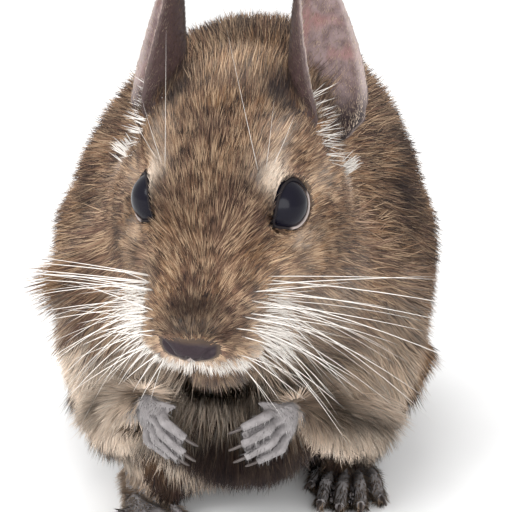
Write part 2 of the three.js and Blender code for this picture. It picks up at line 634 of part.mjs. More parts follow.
for (const [name, [from, to]] of Object.entries(tailEnds)) {
  const steps = [0, 1, 2, 3, 4, 5].map((n) => lerp(from + GAP / TAIL_LENGTH, to, n / 5));
  const ends = { roundStart: false, roundEnd: name === 'tail_brush' };
  const length = solid(limb(steps.map(tailStation), UP, ends));
  const material = name === 'tail_brush' ? pieceColours.tailBrush : pieceColours.tail;
  addPiece(name, onFloor(name === 'tail_base' ? aheadOf(length, TAIL_CUT) : length), material);
}
export default degu;
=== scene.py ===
"""The looks of a life-size degu: one skin, a coat of tufts, eyes, claws and whiskers."""

import json
import math

import bpy
import numpy as np
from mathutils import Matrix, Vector
from mathutils.bvhtree import BVHTree
from mathutils.kdtree import KDTree

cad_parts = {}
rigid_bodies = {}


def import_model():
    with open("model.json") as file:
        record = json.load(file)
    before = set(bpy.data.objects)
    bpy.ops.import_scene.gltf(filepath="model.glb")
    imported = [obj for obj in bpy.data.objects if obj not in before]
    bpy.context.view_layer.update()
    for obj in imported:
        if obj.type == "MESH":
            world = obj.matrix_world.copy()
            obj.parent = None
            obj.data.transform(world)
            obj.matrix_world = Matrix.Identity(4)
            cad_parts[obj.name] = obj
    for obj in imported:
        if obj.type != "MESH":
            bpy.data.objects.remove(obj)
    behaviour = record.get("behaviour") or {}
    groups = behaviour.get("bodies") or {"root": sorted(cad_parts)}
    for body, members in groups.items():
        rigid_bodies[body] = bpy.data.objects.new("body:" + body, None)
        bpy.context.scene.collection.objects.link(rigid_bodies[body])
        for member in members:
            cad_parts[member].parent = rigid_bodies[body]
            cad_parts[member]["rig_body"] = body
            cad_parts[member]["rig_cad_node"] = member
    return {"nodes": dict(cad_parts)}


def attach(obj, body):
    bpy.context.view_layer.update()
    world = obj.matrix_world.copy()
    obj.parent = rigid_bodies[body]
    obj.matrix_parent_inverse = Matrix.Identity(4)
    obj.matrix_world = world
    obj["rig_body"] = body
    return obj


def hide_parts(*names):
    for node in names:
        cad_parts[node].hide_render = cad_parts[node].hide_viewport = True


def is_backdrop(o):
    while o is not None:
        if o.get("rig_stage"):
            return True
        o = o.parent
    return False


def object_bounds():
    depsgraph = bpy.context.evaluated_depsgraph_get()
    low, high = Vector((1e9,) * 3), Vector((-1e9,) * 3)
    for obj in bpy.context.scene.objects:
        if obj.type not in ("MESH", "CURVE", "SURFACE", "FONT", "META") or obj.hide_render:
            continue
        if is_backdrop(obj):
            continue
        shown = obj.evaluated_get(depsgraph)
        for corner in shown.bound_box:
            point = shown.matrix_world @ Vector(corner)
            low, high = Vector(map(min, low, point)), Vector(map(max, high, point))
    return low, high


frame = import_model()
CAD_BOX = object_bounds()

bl_info = {
    "name": "Degu",
    "version": (1, 0, 0),
    "blender": (4, 5, 0),
    "location": "3D View > Sidebar > Degu",
    "description": "A life-size degu with its skin, coat, eyes, claws and whiskers",
    "category": "Object",
}

MM = 0.001
BODY = "root"
SIDES = (1, -1)  # left and right
SIDE_NAMES = {1: "left", -1: "right"}

# The head's frame, in millimetres: x to the animal's left, y along its nose, z out of the crown
EYE_MIDDLE = np.array((-3.5, -79.3, 58.3))
HEAD_YAW = math.radians(12)
HEAD_PITCH = math.radians(30)
AHEAD = np.array(
    (
        -math.sin(HEAD_YAW) * math.cos(HEAD_PITCH),
        -math.cos(HEAD_YAW) * math.cos(HEAD_PITCH),
        -math.sin(HEAD_PITCH),
    )
)
LEFTWARD = np.array((math.cos(HEAD_YAW), -math.sin(HEAD_YAW), 0.0))
CROWNWARD = np.cross(AHEAD, LEFTWARD)
HEAD_AXES = np.stack((LEFTWARD, AHEAD, CROWNWARD))
EYE_AT = np.array((9.55, 0.45, 0.2))  # the left eye, in the head's frame
EYE_RADIUS = 4.35
GAZE = np.array((0.82, 0.38, 0.4))  # where the left eye looks, in the head's frame
NOSE_SHIFT = 0.75  # how far the nose stands to the animal's right of the head's middle
NOSTRIL_AT = (2.8, -7.7)  # x and z of the left nostril from the nose's middle
EAR_LENGTH = 30
TAIL_START = 39  # y of the tail's root, in the row's frame
TAIL_RUN = 112  # how far back the tail goes while it turns
TAIL_TURN = 0.95  # its turn to the animal's left, in radians
FAR = 99.0  # further than any finger or toe is from a place

# Large odd numbers that scatter whole numbers, and the part of them that is kept
SCATTER = np.array((73856093, 19349663, 83492791))
STIRS = (2654435761, 1274126177, 2246822519)
LOW_BITS = 0xFFFFFFFF


def unit(vectors):
    """The same ways, each one long"""
    vectors = np.asarray(vectors, float)
    return vectors / np.maximum(np.linalg.norm(vectors, axis=-1, keepdims=True), 1e-9)


def along_skin(ways, normals):
    """The ways laid flat on the skin, each one long"""
    return unit(ways - np.einsum("ij,ij->i", ways, normals)[:, None] * normals)


def head_local(points):
    """Places of the row's frame in the head's frame"""
    return (points - EYE_MIDDLE) @ HEAD_AXES.T


def on_head(points):
    """Places of the head's frame in the row's frame"""
    return np.asarray(points, float) @ HEAD_AXES + EYE_MIDDLE


def smoothstep(low, high, values):
    """0 below low, 1 above high and smooth in between"""
    share = np.clip((values - low) / (high - low), 0, 1)
    return share * share * (3 - 2 * share)


def spot(points, at, reach):
    """1 at a place and 0 beyond about twice its reach, which is one number or one for each axis."""
    away = (points - np.asarray(at, float)) / np.asarray(reach, float)
    return np.exp(-np.einsum("ij,ij->i", away, away))


def speckle(points, cell, seed):
    """Smooth random values from -1 to 1 that change over about one cell."""
    at = np.asarray(points, float) / cell + 512.0
    whole = np.floor(at).astype(np.int64)
    part = at - whole
    part = part * part * (3 - 2 * part)
    total = np.zeros(len(at))
    for corner in range(8):
        bits = np.array((corner & 1, corner >> 1 & 1, corner >> 2 & 1))
        mixed = (whole + bits) @ SCATTER + seed * STIRS[0]
        mixed = (mixed ^ (mixed >> 13)) * STIRS[1] & LOW_BITS
        mixed = (mixed ^ (mixed >> 16)) * STIRS[2] & LOW_BITS
        weight = np.prod(np.where(bits, part, 1 - part), axis=1)
        total += weight * ((mixed ^ (mixed >> 15)) & 0xFFFF)
    return total / 32767.5 - 1


# Materials


class Value:
    """A socket of a material's nodes, which can be used in sums."""

    def __init__(self, finish, socket):
        self.finish = finish
        self.socket = socket

    def maths(self, operation, first, second, clamped=False):
        settings = {"operation": operation, "use_clamp": clamped}
        return self.finish.add("ShaderNodeMath", settings, {0: first, 1: second})

    def __add__(self, other):
        return self.maths("ADD", self, other)

    __radd__ = __add__

    def __sub__(self, other):
        return self.maths("SUBTRACT", self, other)

    def __rsub__(self, other):
        return self.maths("SUBTRACT", other, self)

    def __mul__(self, other):
        return self.maths("MULTIPLY", self, other)

    __rmul__ = __mul__

    def clamped(self):
        """The value, but at least 0 and at most 1"""
        return self.maths("ADD", self, 0.0, clamped=True)

    def between(self, low, high):
        """0 below low, 1 above high and smooth in between"""
        settings = {"interpolation_type": "SMOOTHSTEP"}
        return self.finish.add("ShaderNodeMapRange", settings, {0: self, 1: low, 2: high})


class Finish:
    """A material whose nodes are added one call at a time."""

    def __init__(self, name, **constants):
        self.material = bpy.data.materials.new(name)
        self.material.use_nodes = True
        self.nodes = self.material.node_tree.nodes
        self.links = self.material.node_tree.links
        self.shader = self.nodes["Principled BSDF"]
        for socket, value in constants.items():
            self.shader.inputs[socket.replace("_", " ")].default_value = value

    def add(self, kind, settings, inputs, output=0):
        """A new node, its settings made first and its sockets fed after. Gives its output."""
        node = self.nodes.new(kind)
        for name, value in settings.items():
            setattr(node, name, value)
        for key, value in inputs.items():
            self.feed(node.inputs[key], value)
        return Value(self, node.outputs[output])

    def feed(self, socket, value):
        if isinstance(value, Value):
            self.links.new(value.socket, socket)
        elif hasattr(value, "__len__") and len(value) == 3 and socket.type == "RGBA":
            socket.default_value = (*value, 1.0)
        else:
            socket.default_value = value

    def parts(self, name):
        """The three numbers of a colour attribute"""
        whole = self.add("ShaderNodeAttribute", {"attribute_name": name}, {}, "Color")
        node = self.nodes.new("ShaderNodeSeparateColor")
        self.links.new(whole.socket, node.inputs[0])
        return [Value(self, socket) for socket in node.outputs]

    def mix(self, factor, first, second):
        """The first colour where the factor is 0 and the second where it is 1"""
        settings = {"data_type": "RGBA", "clamp_factor": True}
        return self.add("ShaderNodeMix", settings, {0: factor, 6: first, 7: second}, 2)

    def noise(self, size, detail):
        """Noise whose grain is about a size in millimetres"""
        place = self.add("ShaderNodeTexCoord", {}, {}, "Object")
        inputs = {"Vector": place, "Scale": 1 / (size * MM), "Detail": detail}
        return self.add("ShaderNodeTexNoise", {}, inputs)

    def bump(self, height, strength, distance):
        """A normal from a height, whose distance is in millimetres"""
        inputs = {"Height": height, "Strength": strength, "Distance": distance * MM}
        return self.add("ShaderNodeBump", {}, inputs, "Normal")

    def wear(self, **sockets):
        """Feeds the shader's sockets, whose names are written with _ for a space"""
        for name, value in sockets.items():
            self.feed(self.shader.inputs[name.replace("_", " ")], value)


def agouti(finish, marking, hair):
    """The coat's colour along a tuft: dark at the root, a gold or buff band and a dark or pale tip."""
    pale, dark, warm = marking
    along, chance, other = hair
    colours = bpy.context.scene.degu_coat
    root = finish.mix(pale, tuple(colours.underfur), (0.56, 0.46, 0.37))
    band = finish.mix(warm, tuple(colours.band), tuple(colours.warm_band))
    band = finish.mix(other.between(0.50, 0.80) * 0.8, band, tuple(colours.russet))
    band = finish.mix((1 - chance.between(0.14, 0.36)) * 0.7, band, tuple(colours.gold))
    band = finish.mix(pale * (1 - other.between(0.6, 0.85) * 0.4), band, tuple(colours.cream))
    shade = (dark * 0.8 + chance.between(0.52, 0.74) * (1 - pale * 0.45) * 0.92).clamped()
    body = finish.mix(along.between(0.0, 0.38), root, band)
    tip = finish.mix(pale * other.between(0.25, 0.5), tuple(colours.dark_tip), (0.92, 0.84, 0.72))
    ticked = finish.mix(along.between(0.42, 0.85) * shade, body, tip)
    return finish.mix(dark * 0.8, ticked, tuple(colours.dark_tip))


# Meshes


def select_only(*pieces):
    """Selects the pieces alone and makes the first one active"""
    if bpy.context.object and bpy.context.object.mode != "OBJECT":
        bpy.ops.object.mode_set(mode="OBJECT")
    bpy.ops.object.select_all(action="DESELECT")
    for piece in pieces:
        piece.select_set(True)
    bpy.context.view_layer.objects.active = pieces[0]


def apply_modifier(piece, kind, **settings):
    """Gives a mesh a modifier and applies it"""
    select_only(piece)
    modifier = piece.modifiers.new(kind.title(), kind)
    for name, value in settings.items():
        setattr(modifier, name, value)
    bpy.ops.object.modifier_apply(modifier=modifier.name)


def joined(pieces, name):
    """One piece of several, under a new name"""
    select_only(*pieces)
    bpy.ops.object.join()
    piece = bpy.context.object
    piece.name = name
    piece.data.name = name
    return piece


def read(items, key, width, kind=np.float32):
    """The numbers of a mesh's points, edges, corners or faces, in one row for each"""
    values = np.empty(len(items) * width, kind)
    items.foreach_get(key, values)
    return values.reshape(-1, width)


def places_of(piece):
    """The places of a mesh's points, in millimetres"""
    return read(piece.data.vertices, "co", 3).astype(float) / MM


def move_to(piece, places):
    """Moves a mesh's points, none of them below the floor"""
    places = places.copy()
    places[:, 2] = np.maximum(places[:, 2], 0.0)
    flat = (places * MM).astype(np.float32).ravel()
    piece.data.vertices.foreach_set("co", flat)
    piece.data.update()


def normals_of(piece):
    """The normals of a mesh's points"""
    return read(piece.data.vertex_normals, "vector", 3).astype(float)


def edges_of(piece):
    """The numbers of the two points of each edge"""
    return read(piece.data.edges, "vertices", 2, np.int32)


def triangles_of(piece):
    """The numbers of the three points of each triangle"""
    piece.data.calc_loop_triangles()
    return read(piece.data.loop_triangles, "vertices", 3, np.int32)


def blurred(values, edges, rounds, share=0.5):
    """Each value drawn towards the mean of its neighbours', a number of times"""
    values = values.astype(float).copy()
    flat = values.reshape(len(values), -1)
    share = np.broadcast_to(np.asarray(share, float), len(flat))[:, None]
    start, end = np.concatenate((edges, edges[:, ::-1])).T
    count = np.maximum(np.bincount(start, minlength=len(flat)), 1)[:, None]
    for _ in range(rounds):
        sums = [np.bincount(start, column[end], len(flat)) for column in flat.T]
        flat += share * (np.stack(sums, 1) / count - flat)
    return flat.reshape(values.shape)


def kept(piece, name, values):
    """Stores numbers on the points of a mesh: one, or a colour's four, for each."""
    values = np.asarray(values, np.float32)
    kind, key = ("FLOAT", "value") if values.ndim == 1 else ("FLOAT_COLOR", "color")
    if values.ndim > 1 and values.shape[1] == 3:
        values = np.concatenate((values, np.ones((len(values), 1), np.float32)), 1)
    attribute = piece.data.attributes.new(name, kind, "POINT")
    attribute.data.foreach_set(key, values.ravel())


def recalled(piece, name):
    """The numbers that kept stored: one, or a colour's first three, for each point"""
    attribute = piece.data.attributes[name]
    if attribute.data_type == "FLOAT":
        return read(attribute.data, "value", 1)[:, 0].astype(float)
    return read(attribute.data, "color", 4)[:, :3].astype(float)


def turned_out(points, faces):
    """The triangles of a closed shape, turned so that they face out"""
    a, b, c = (points[faces[:, n]] - points[0] for n in range(3))
    volume = np.einsum("ij,ij->", a, np.cross(b, c))
    return faces if volume > 0 else faces[:, ::-1]


def mesh_piece(name, places, faces, material):
    """A piece from arrays of places in millimetres and of triangles"""
    mesh = bpy.data.meshes.new(name)
    mesh.vertices.add(len(places))
    mesh.vertices.foreach_set("co", (places * MM).astype(np.float32).ravel())
    mesh.loops.add(faces.size)
    mesh.loops.foreach_set("vertex_index", faces.astype(np.int32).ravel())
    mesh.polygons.add(len(faces))
    mesh.polygons.foreach_set("loop_start", np.arange(0, faces.size, 3, dtype=np.int32))
    mesh.update(calc_edges=True)
    mesh.shade_smooth()
    mesh.materials.append(material)
    piece = bpy.data.objects.new(name, mesh)
    bpy.context.scene.collection.objects.link(piece)
    return piece


# The skin

LIMBS = ("thigh", "shank", "upper_arm", "forearm")
FEET = ("hind_foot", "forepaw")
LIMB_NODES = [f"{part}_{side}" for part in LIMBS for side in SIDE_NAMES.values()]
FOOT_NODES = [f"{part}_{side}" for part in FEET for side in SIDE_NAMES.values()]
EAR_NODES = [f"ear_{side}" for side in SIDE_NAMES.values()]
TAIL_NODES = ["tail_base", "tail_middle", "tail_brush"]
FLESH = ["head", "nose", "neck", "trunk", *LIMB_NODES, *FOOT_NODES, *EAR_NODES, *TAIL_NODES]

THIN_ROUNDS = 30  # parts with no more rounds than this keep their size as they are smoothed
BLEND_ROUNDS = 10  # of blurring, where one part's numbers turn into the next one's
DEPTH_ROUNDS = 20  # the same for the coat's depth
FACE_DEPTH = 0.55  # the coat's depth on the face
LEAST_DEPTH = 0.05

# Where the skin's mesh is finest: on the face, from this y forward, from this z up and this far to
# each side, in the head's frame; this near an eye; and this near a finger or toe
FACE_BACK, FACE_LOW, FACE_SIDE = 12, -19, 13
EYE_REACH = 8
DIGIT_REACH = 2.2
SPARED = 0.08  # how freely the mesh is simplified there, where 1 is as freely as elsewhere

# For each part of the body: the coat's depth, then a tuft's length, width and lift in degrees, tufts
# to a square millimetre, and the rounds of smoothing that the skin gets
DEPTH, LENGTH, WIDTH, LIFT, DENSITY, ROUNDS = range(6)
PARTS = {
    "head": (1.3, 4.2, 0.25, 15, 22.0, 24),
    "nose": (0.1, 3.0, 0.22, 16, 22.0, 8),
    "neck": (3.4, 7.0, 0.36, 20, 10.5, 120),
    "trunk": (4.0, 8.8, 0.40, 19, 8.6, 160),
    "thigh": (3.6, 7.8, 0.38, 19, 8.6, 160),
    "shank": (2.4, 5.5, 0.32, 20, 10.0, 80),
    "upper_arm": (3.4, 7.2, 0.36, 19, 9.6, 160),
    "forearm": (1.7, 4.8, 0.27, 20, 14.0, 60),
    "hind_foot": (0.45, 2.4, 0.20, 18, 10.0, 10),
    "forepaw": (0.3, 1.3, 0.10, 10, 6.0, 8),
    "ear": (0.22, 1.0, 0.09, 12, 6.0, 30),
    "tail_base": (1.2, 3.6, 0.34, 20, 6.0, 30),
    "tail_middle": (1.2, 4.2, 0.34, 20, 7.0, 30),
    "tail_brush": (1.9, 8.0, 0.40, 26, 9.0, 30),
}


def part_of(node):
    """The part of the body that a node is of"""
    return next(part for part in PARTS if node.startswith(part))


FLESH_GROWTH = 0.25  # closes the gaps between the parts of the body
CLAW_GROWTH = 0.06  # the same for a claw and its finger or toe
CLAW_SINK = 1.1  # how far a claw's root is drawn back


def flesh_copy(node, grown):
    """A copy of a solid, its corners merged and its surface moved outwards"""
    piece = frame["nodes"][node].copy()
    piece.data = piece.data.copy()
    piece.parent = None
    piece.data.materials.clear()
    bpy.context.scene.collection.objects.link(piece)
    piece.hide_render = False
    select_only(piece)
    bpy.ops.object.mode_set(mode="EDIT")
    bpy.ops.mesh.select_all(action="SELECT")
    bpy.ops.mesh.remove_doubles(threshold=1e-6)
    bpy.ops.object.mode_set(mode="OBJECT")
    apply_modifier(piece, "DISPLACE", strength=grown * MM, mid_level=0.0)
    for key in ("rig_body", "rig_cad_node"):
        del piece[key]
    return piece


def parts_tree(solids):
    """A search tree of the solids' triangles, and which solid each one is of"""
    corners, faces, owners = [], [], []
    for number, solid in enumerate(solids):
        triangles = triangles_of(solid) + len(corners)
        corners += places_of(solid).tolist()
        faces += triangles.tolist()
        owners += [number] * len(triangles)
    return BVHTree.FromPolygons(corners, faces), np.array(owners)


def nearest_faces(tree, places):
    """The number of the triangle nearest to each place"""
    return np.array([tree.find_nearest(place)[2] for place in places.tolist()])


def smoothed_places(places, edges, rounds):
    """Smooths the surface: by many rounds on the body, and so that thin parts keep their size."""
    most = int(rounds.max())
    thin = rounds <= THIN_ROUNDS
    for done in range(0, most, 2):
        share = np.where(rounds > done, 0.5, 0.0)
        places = blurred(places, edges, 1, share)
        back = np.where(thin & (rounds > done), -0.52, share)
        places = blurred(places, edges, 1, back)
    return places


def eye_frame(side):
    """The eye's middle and its axes in the head's frame: forward along the head, up and outward"""
    outward = unit(GAZE * (side, 1, 1))
    up = unit(np.array((0, 0, 1.0)) - outward[2] * outward)
    forward = np.cross(up, outward) * side
    forward = forward * np.sign(forward[1])
    return EYE_AT * (side, 1, 1), np.stack((forward, up, outward))


# How far from the gaze, in radians, the lids meet the eyeball, for turns in degrees round it from the
# nose side
LID_TURNS = (-150, -125, -100, -75, -50, -30, -14, 0, 14, 30, 50, 80, 110, 140, 160, 180)
LID_ANGLES = (
    *(0.94, 0.92, 0.93, 0.95, 0.96, 1.04, 1.27, 1.13),
    *(0.98, 0.90, 0.85, 0.85, 0.92, 1.0, 1.0, 0.97),
)
LID_BLUR = 7  # degrees of turn over which one angle runs into the next
LID_SOCKET = -0.35  # the skin under an eyeball's open part, from the eyeball
LID_EDGE = 0.16  # the lids' thickness where they meet the eyeball
RIM_STEPS = 120  # of the ring along the lids' edge
RIM_SIDES = 6
RIM_RADIUS = 0.24
RIM_STAND = 0.10  # how far the ring's middle line is from the eyeball


def lid_angle(turn):
    """How far from the gaze the lids meet the eyeball. turn is 0 at the nose side."""
    fine = np.arange(-180, 540)
    turns = np.concatenate((LID_TURNS, np.array(LID_TURNS) + 360))
    table = np.interp(fine, turns, LID_ANGLES * 2)
    weights = np.exp(-((np.arange(-18, 19) / LID_BLUR) ** 2))
    table = np.convolve(table, weights / weights.sum(), mode="same")
    return np.interp(np.degrees(turn) % 360, fine[180:541], table[180:541])


def around_eye(local, side):
    """Each place's way from an eye's middle, its reach, its turn and its angle past the lids"""
    middle, axes = eye_frame(side)
    away = (local - middle) @ axes.T
    reach = np.linalg.norm(away, axis=1)
    turn = np.arctan2(away[:, 1], away[:, 0])
    angle = np.arccos(np.clip(away[:, 2] / np.maximum(reach, 1e-6), -1, 1))
    return away, reach, turn, angle - lid_angle(turn)


def shape_lids(local):
    """Draws the skin in under each eyeball's open part and lays the lids close round it"""
    for side in SIDES:
        away, reach, _, beyond = around_eye(local, side)
        over = np.maximum(beyond, 0)
        lid = EYE_RADIUS + LID_EDGE + 0.42 * smoothstep(0, 0.22, beyond) + 1.5 * np.maximum(over - 0.2, 0)
        target = np.where(beyond < 0, EYE_RADIUS + LID_SOCKET, lid)
        hold = (1 - smoothstep(6.5, 9, reach)) * (1 - smoothstep(0.35, 0.95, beyond))
        new_reach = reach + hold * (target - reach)
        scale = new_reach / np.maximum(reach, 1e-6) - 1
        local = local + (scale[:, None] * away) @ eye_frame(side)[1]
    return local


def lid_rim(side):
    """A thin closed ring along the edge of the lids, in the row's frame: its points and triangles"""
    middle, axes = eye_frame(side)
    turn = np.linspace(-math.pi, math.pi, RIM_STEPS, endpoint=False)
    angle = lid_angle(turn)
    over = np.stack((np.sin(angle) * np.cos(turn), np.sin(angle) * np.sin(turn), np.cos(angle)), 1)
    line = over * (EYE_RADIUS + RIM_STAND)
    ahead = unit(np.roll(line, -1, 0) - np.roll(line, 1, 0))
    across = np.cross(ahead, over)
    around = np.arange(RIM_SIDES) * 2 * math.pi / RIM_SIDES
    ring = np.cos(around)[None, :, None] * across[:, None] + np.sin(around)[None, :, None] * over[:, None]
    points = on_head((line[:, None] + RIM_RADIUS * ring).reshape(-1, 3) @ axes + middle)
    here = np.arange(RIM_STEPS)[:, None] * RIM_SIDES + np.arange(RIM_SIDES)
    beside, onward = np.roll(here, -1, 1), np.roll(here, -1, 0)
    opposite = np.roll(onward, -1, 1)
    faces = np.stack((here, beside, opposite, here, opposite, onward), -1)
    return points, turned_out(points, faces.reshape(-1, 3))


def shape_nose(local, normals):
    """Nostrils, the groove below the nose and the rim of its pad"""
    x, y, z = local.T
    x = x + NOSE_SHIFT
    front = smoothstep(17, 20, y)
    nostril = np.zeros(len(local))
    for side in SIDES:
        outward, upward = side * x - NOSTRIL_AT[0], z - NOSTRIL_AT[1]
        slant = outward * 0.75 + upward * 0.66
        across = outward * -0.66 + upward * 0.75
        nostril += np.exp(-((slant / 1.5) ** 2) - ((across + 0.14 * slant**2) / 0.42) ** 2)
    groove = np.exp(-((x / 0.42) ** 2)) * smoothstep(-15.5, -14.5, z) * (1 - smoothstep(-8.6, -7.6, z))
    rim = nose_pad(local)
    edge = np.exp(-(((rim - 0.35) / 0.2) ** 2)) * front
    push = front * (-0.5 * nostril - 0.5 * groove) - 0.12 * edge + 0.22 * rim * front
    return local + push[:, None] * normals


def nose_pad(local):
    """1 on the nose's bare pad, which is flat above and round below, and 0 off it"""
    x, y, z = local.T
    x = x + NOSE_SHIFT
    low = -6.9 - 3.0 * np.sqrt(np.clip(1 - (x / 4.5) ** 2, 0, 1))
    high = -5.9 - 0.05 * x**2
    wide = 1 - smoothstep(4.0, 4.5, np.abs(x))
    tall = smoothstep(low - 0.25, low + 0.25, z) * (1 - smoothstep(high - 0.25, high + 0.25, z))
    return wide * tall * (y > 19)


# Fingers and toes. For a forepaw: its wrist, the way its fingers point and the way its back faces; for a
# hind foot: its heel and its middle toe's tip; then the line and the sizes of each finger or toe.
FOREPAWS = {
    1: ((8.0, -81.5, 24.8), (-0.64, -0.6, -0.46), (0.66, -0.74, 0.1)),
    -1: ((-15.4, -82.0, 26.6), (0.42, -0.54, -0.72), (-0.8, -0.6, 0.0)),
}
HIND_FEET = {
    1: ((21.2, -30.5, 0.0), (16.4, -67.5, 0.0)),
    -1: ((-20.0, -49.5, 0.0), (-13.6, -86.0, 0.0)),
}
FINGER_REACH = (9.3, 10.8, 10.5, 9.1)
FINGER_GAP = 2.25
FINGER_RADII = (0.98, 0.86, 0.62)
TOE_RADII = (1.4, 1.2, 1.1, 0.75)
TOE_ENDS = (
    ((-3.6, 20, 2.1), (-5.8, 28, 1.4)),
    ((-2.4, 24, 2.2), (-3.4, 35.8, 1.4)),
    ((0, 24.5, 2.3), (0, 37, 1.4)),
    ((2.4, 24, 2.2), (3.6, 35.8, 1.4)),
    ((3.7, 21.5, 2.1), (7, 32.5, 1.4)),
)


def digit_lines(side):
    """The fingers of a forepaw and the toes of a hind foot: lines in the row's frame and their radii"""
    wrist, ahead, back = (np.array(way, float) for way in FOREPAWS[side])
    ahead = unit(ahead)
    across = unit(np.cross(ahead, back))
    axes = np.stack((across, ahead, np.cross(across, ahead)))
    fingers = []
    for n, tip in enumerate(FINGER_REACH):
        x = (n - 1.5) * FINGER_GAP
        line = np.array(((0.75 * x, 3.4, 0), (0.98 * x, 0.6 * tip, 0.5), (x, tip, -1.8)))
        fingers.append((line @ axes + wrist, FINGER_RADII))
    heel, end = (np.array(place) for place in HIND_FEET[side])
    ahead = unit(end - heel)
    axes = np.stack((np.cross(ahead, (0, 0, -side)), ahead, (0, 0, 1)))
    toes = []
    for root, tip in TOE_ENDS:
        root, tip = np.array(root, float), np.array(tip, float)
        line = np.stack((root, (root + tip) / 2, root + 0.82 * (tip - root), tip))
        line[1:3, 2] = (2.5, 1.0)
        toes.append((line @ axes + heel, TOE_RADII))
    return fingers, toes


def from_line(places, line, radii):
    """For each place: how far it is outside a tapered tube, the way out of it and how far along it is"""
    gap = np.full(len(places), FAR)
    way = np.zeros_like(places)
    along = np.zeros(len(places))
    for n, (start, end) in enumerate(zip(line[:-1], line[1:])):
        run = end - start
        share = np.clip((places - start) @ run / (run @ run), 0, 1)
        away = places - start - share[:, None] * run
        here = np.linalg.norm(away, axis=1) - (radii[n] + share * (radii[n + 1] - radii[n]))
        closer = here < gap
        gap[closer], way[closer], along[closer] = here[closer], away[closer], (n + share)[closer]
    return gap, unit(way), along


def digits_near(places):
    """Each place's gap to the nearest finger or toe, the way out, how far along it is and how creased"""
    gap, along, crease = np.full(len(places), FAR), np.zeros(len(places)), np.zeros(len(places))
    way = np.zeros_like(places)
    for side in SIDES:
        for lines in digit_lines(side):
            found = [from_line(places, *line) for line in lines]
            gaps = np.stack([one[0] for one in found])
            order = np.argsort(gaps, axis=0)
            first, second = (np.take_along_axis(gaps, order[n : n + 1], 0)[0] for n in (0, 1))
            closer = first < gap
            pick = (order[0], np.arange(len(places)))
            gap[closer] = first[closer]
            way[closer] = np.stack([one[1] for one in found])[pick][closer]
            along[closer] = np.stack([one[2] for one in found])[pick][closer]
            fold = np.exp(-(((second - first) / 0.65) ** 2)) * (1 - smoothstep(0.7, 1.5, second))
            crease[closer] = fold[closer]
    return gap, way, along, crease


def shape_digits(places, normals, edges):
    """Parts the fingers and toes and rounds each one"""
    gap, way, along, crease = digits_near(places)
    hold = smoothstep(0.05, 0.7, along) * (1 - smoothstep(0.9, 1.6, np.abs(gap)))
    folded = crease * smoothstep(-0.1, 0.5, along) * (gap < 1.3)
    shaped = places - (hold * gap)[:, None] * way - (0.75 * folded)[:, None] * normals
    return blurred(shaped, edges, 2, 0.45 * np.maximum(hold, folded))


def ear_places(places, normals, side):
    """For places on an ear: how far up it they are, how much they face its hollow and how near its edges"""
    along_way = unit(np.array((-0.05 if side > 0 else 0.08, 0.24, 0.97)))
    facing = unit(np.array((side * 0.86, 0.5, 0))) @ HEAD_AXES
    sideways = unit(np.cross(facing, along_way))
    axes = np.stack((sideways, np.cross(along_way, sideways), along_way))
    x, y, z = ((places - on_head((side * 12.9, -15.5, -1))) @ axes.T).T
    nx, ny, _ = (normals @ axes.T).T
    along = np.clip(z / EAR_LENGTH, 0.01, 0.99)
    curl = 2.2 - 1.4 * along**0.55
    leaf = 3.6 + 5 * np.sin(np.pi * along**0.72) ** 0.9
    end = np.sqrt(np.clip(1 - (np.maximum(along - 0.7, 0) / 0.305) ** 2, 0.05, 1))
    radius = np.maximum(leaf * end / np.sin(np.minimum(curl, np.pi / 2)), 0.8)
    middle = radius * np.cos(0.6 * curl)
    toward = unit(np.stack((-x, middle - y), 1))
    inner = smoothstep(-0.25, 0.35, nx * toward[:, 0] + ny * toward[:, 1])
    across = np.abs(np.arctan2(x, middle - y)) / curl
    edge = np.maximum(smoothstep(0.80, 0.97, across), smoothstep(0.93, 0.985, z / EAR_LENGTH))
    return along, inner, edge


# Strokes of the comb: where, which way the coat lies there and how far the stroke reaches. Those on
# the head are in its frame and are drawn on both sides; those on the body are in the row's frame.
STROKE_SPREAD = 1.4
HEAD_STROKES = (
    ((0, 24, -4), (0, -0.6, 0.8), 3),
    ((0, 14, 1), (0, -1, 0.35), 6),
    ((0, 0, 8), (0, -1, 0.25), 8),
    ((0, -16, 10), (0, -1, -0.15), 8),
    ((7, 10, -2), (0.25, -1, 0.1), 5),
    ((10, 5, -6), (0.45, -0.9, -0.25), 5),
    ((6, 19, -8), (0.7, -0.7, -0.1), 4),
    ((6, 18, -13), (0.6, -0.5, -0.6), 4),
    ((2, 23, -13), (0.25, -0.2, -0.9), 3),
    ((0, 17, -21), (0, -0.9, -0.4), 4),
    ((7, -1, 7), (0.25, -0.9, 0.35), 4),
    ((13, -5, 0), (0.2, -0.9, -0.25), 5),
    ((15, -8, -10), (0.3, -0.8, -0.5), 8),
    ((11, -14, 6), (0.1, -0.9, 0.3), 5),
    ((5, -2, -24), (0.1, -0.9, 0), 8),
)
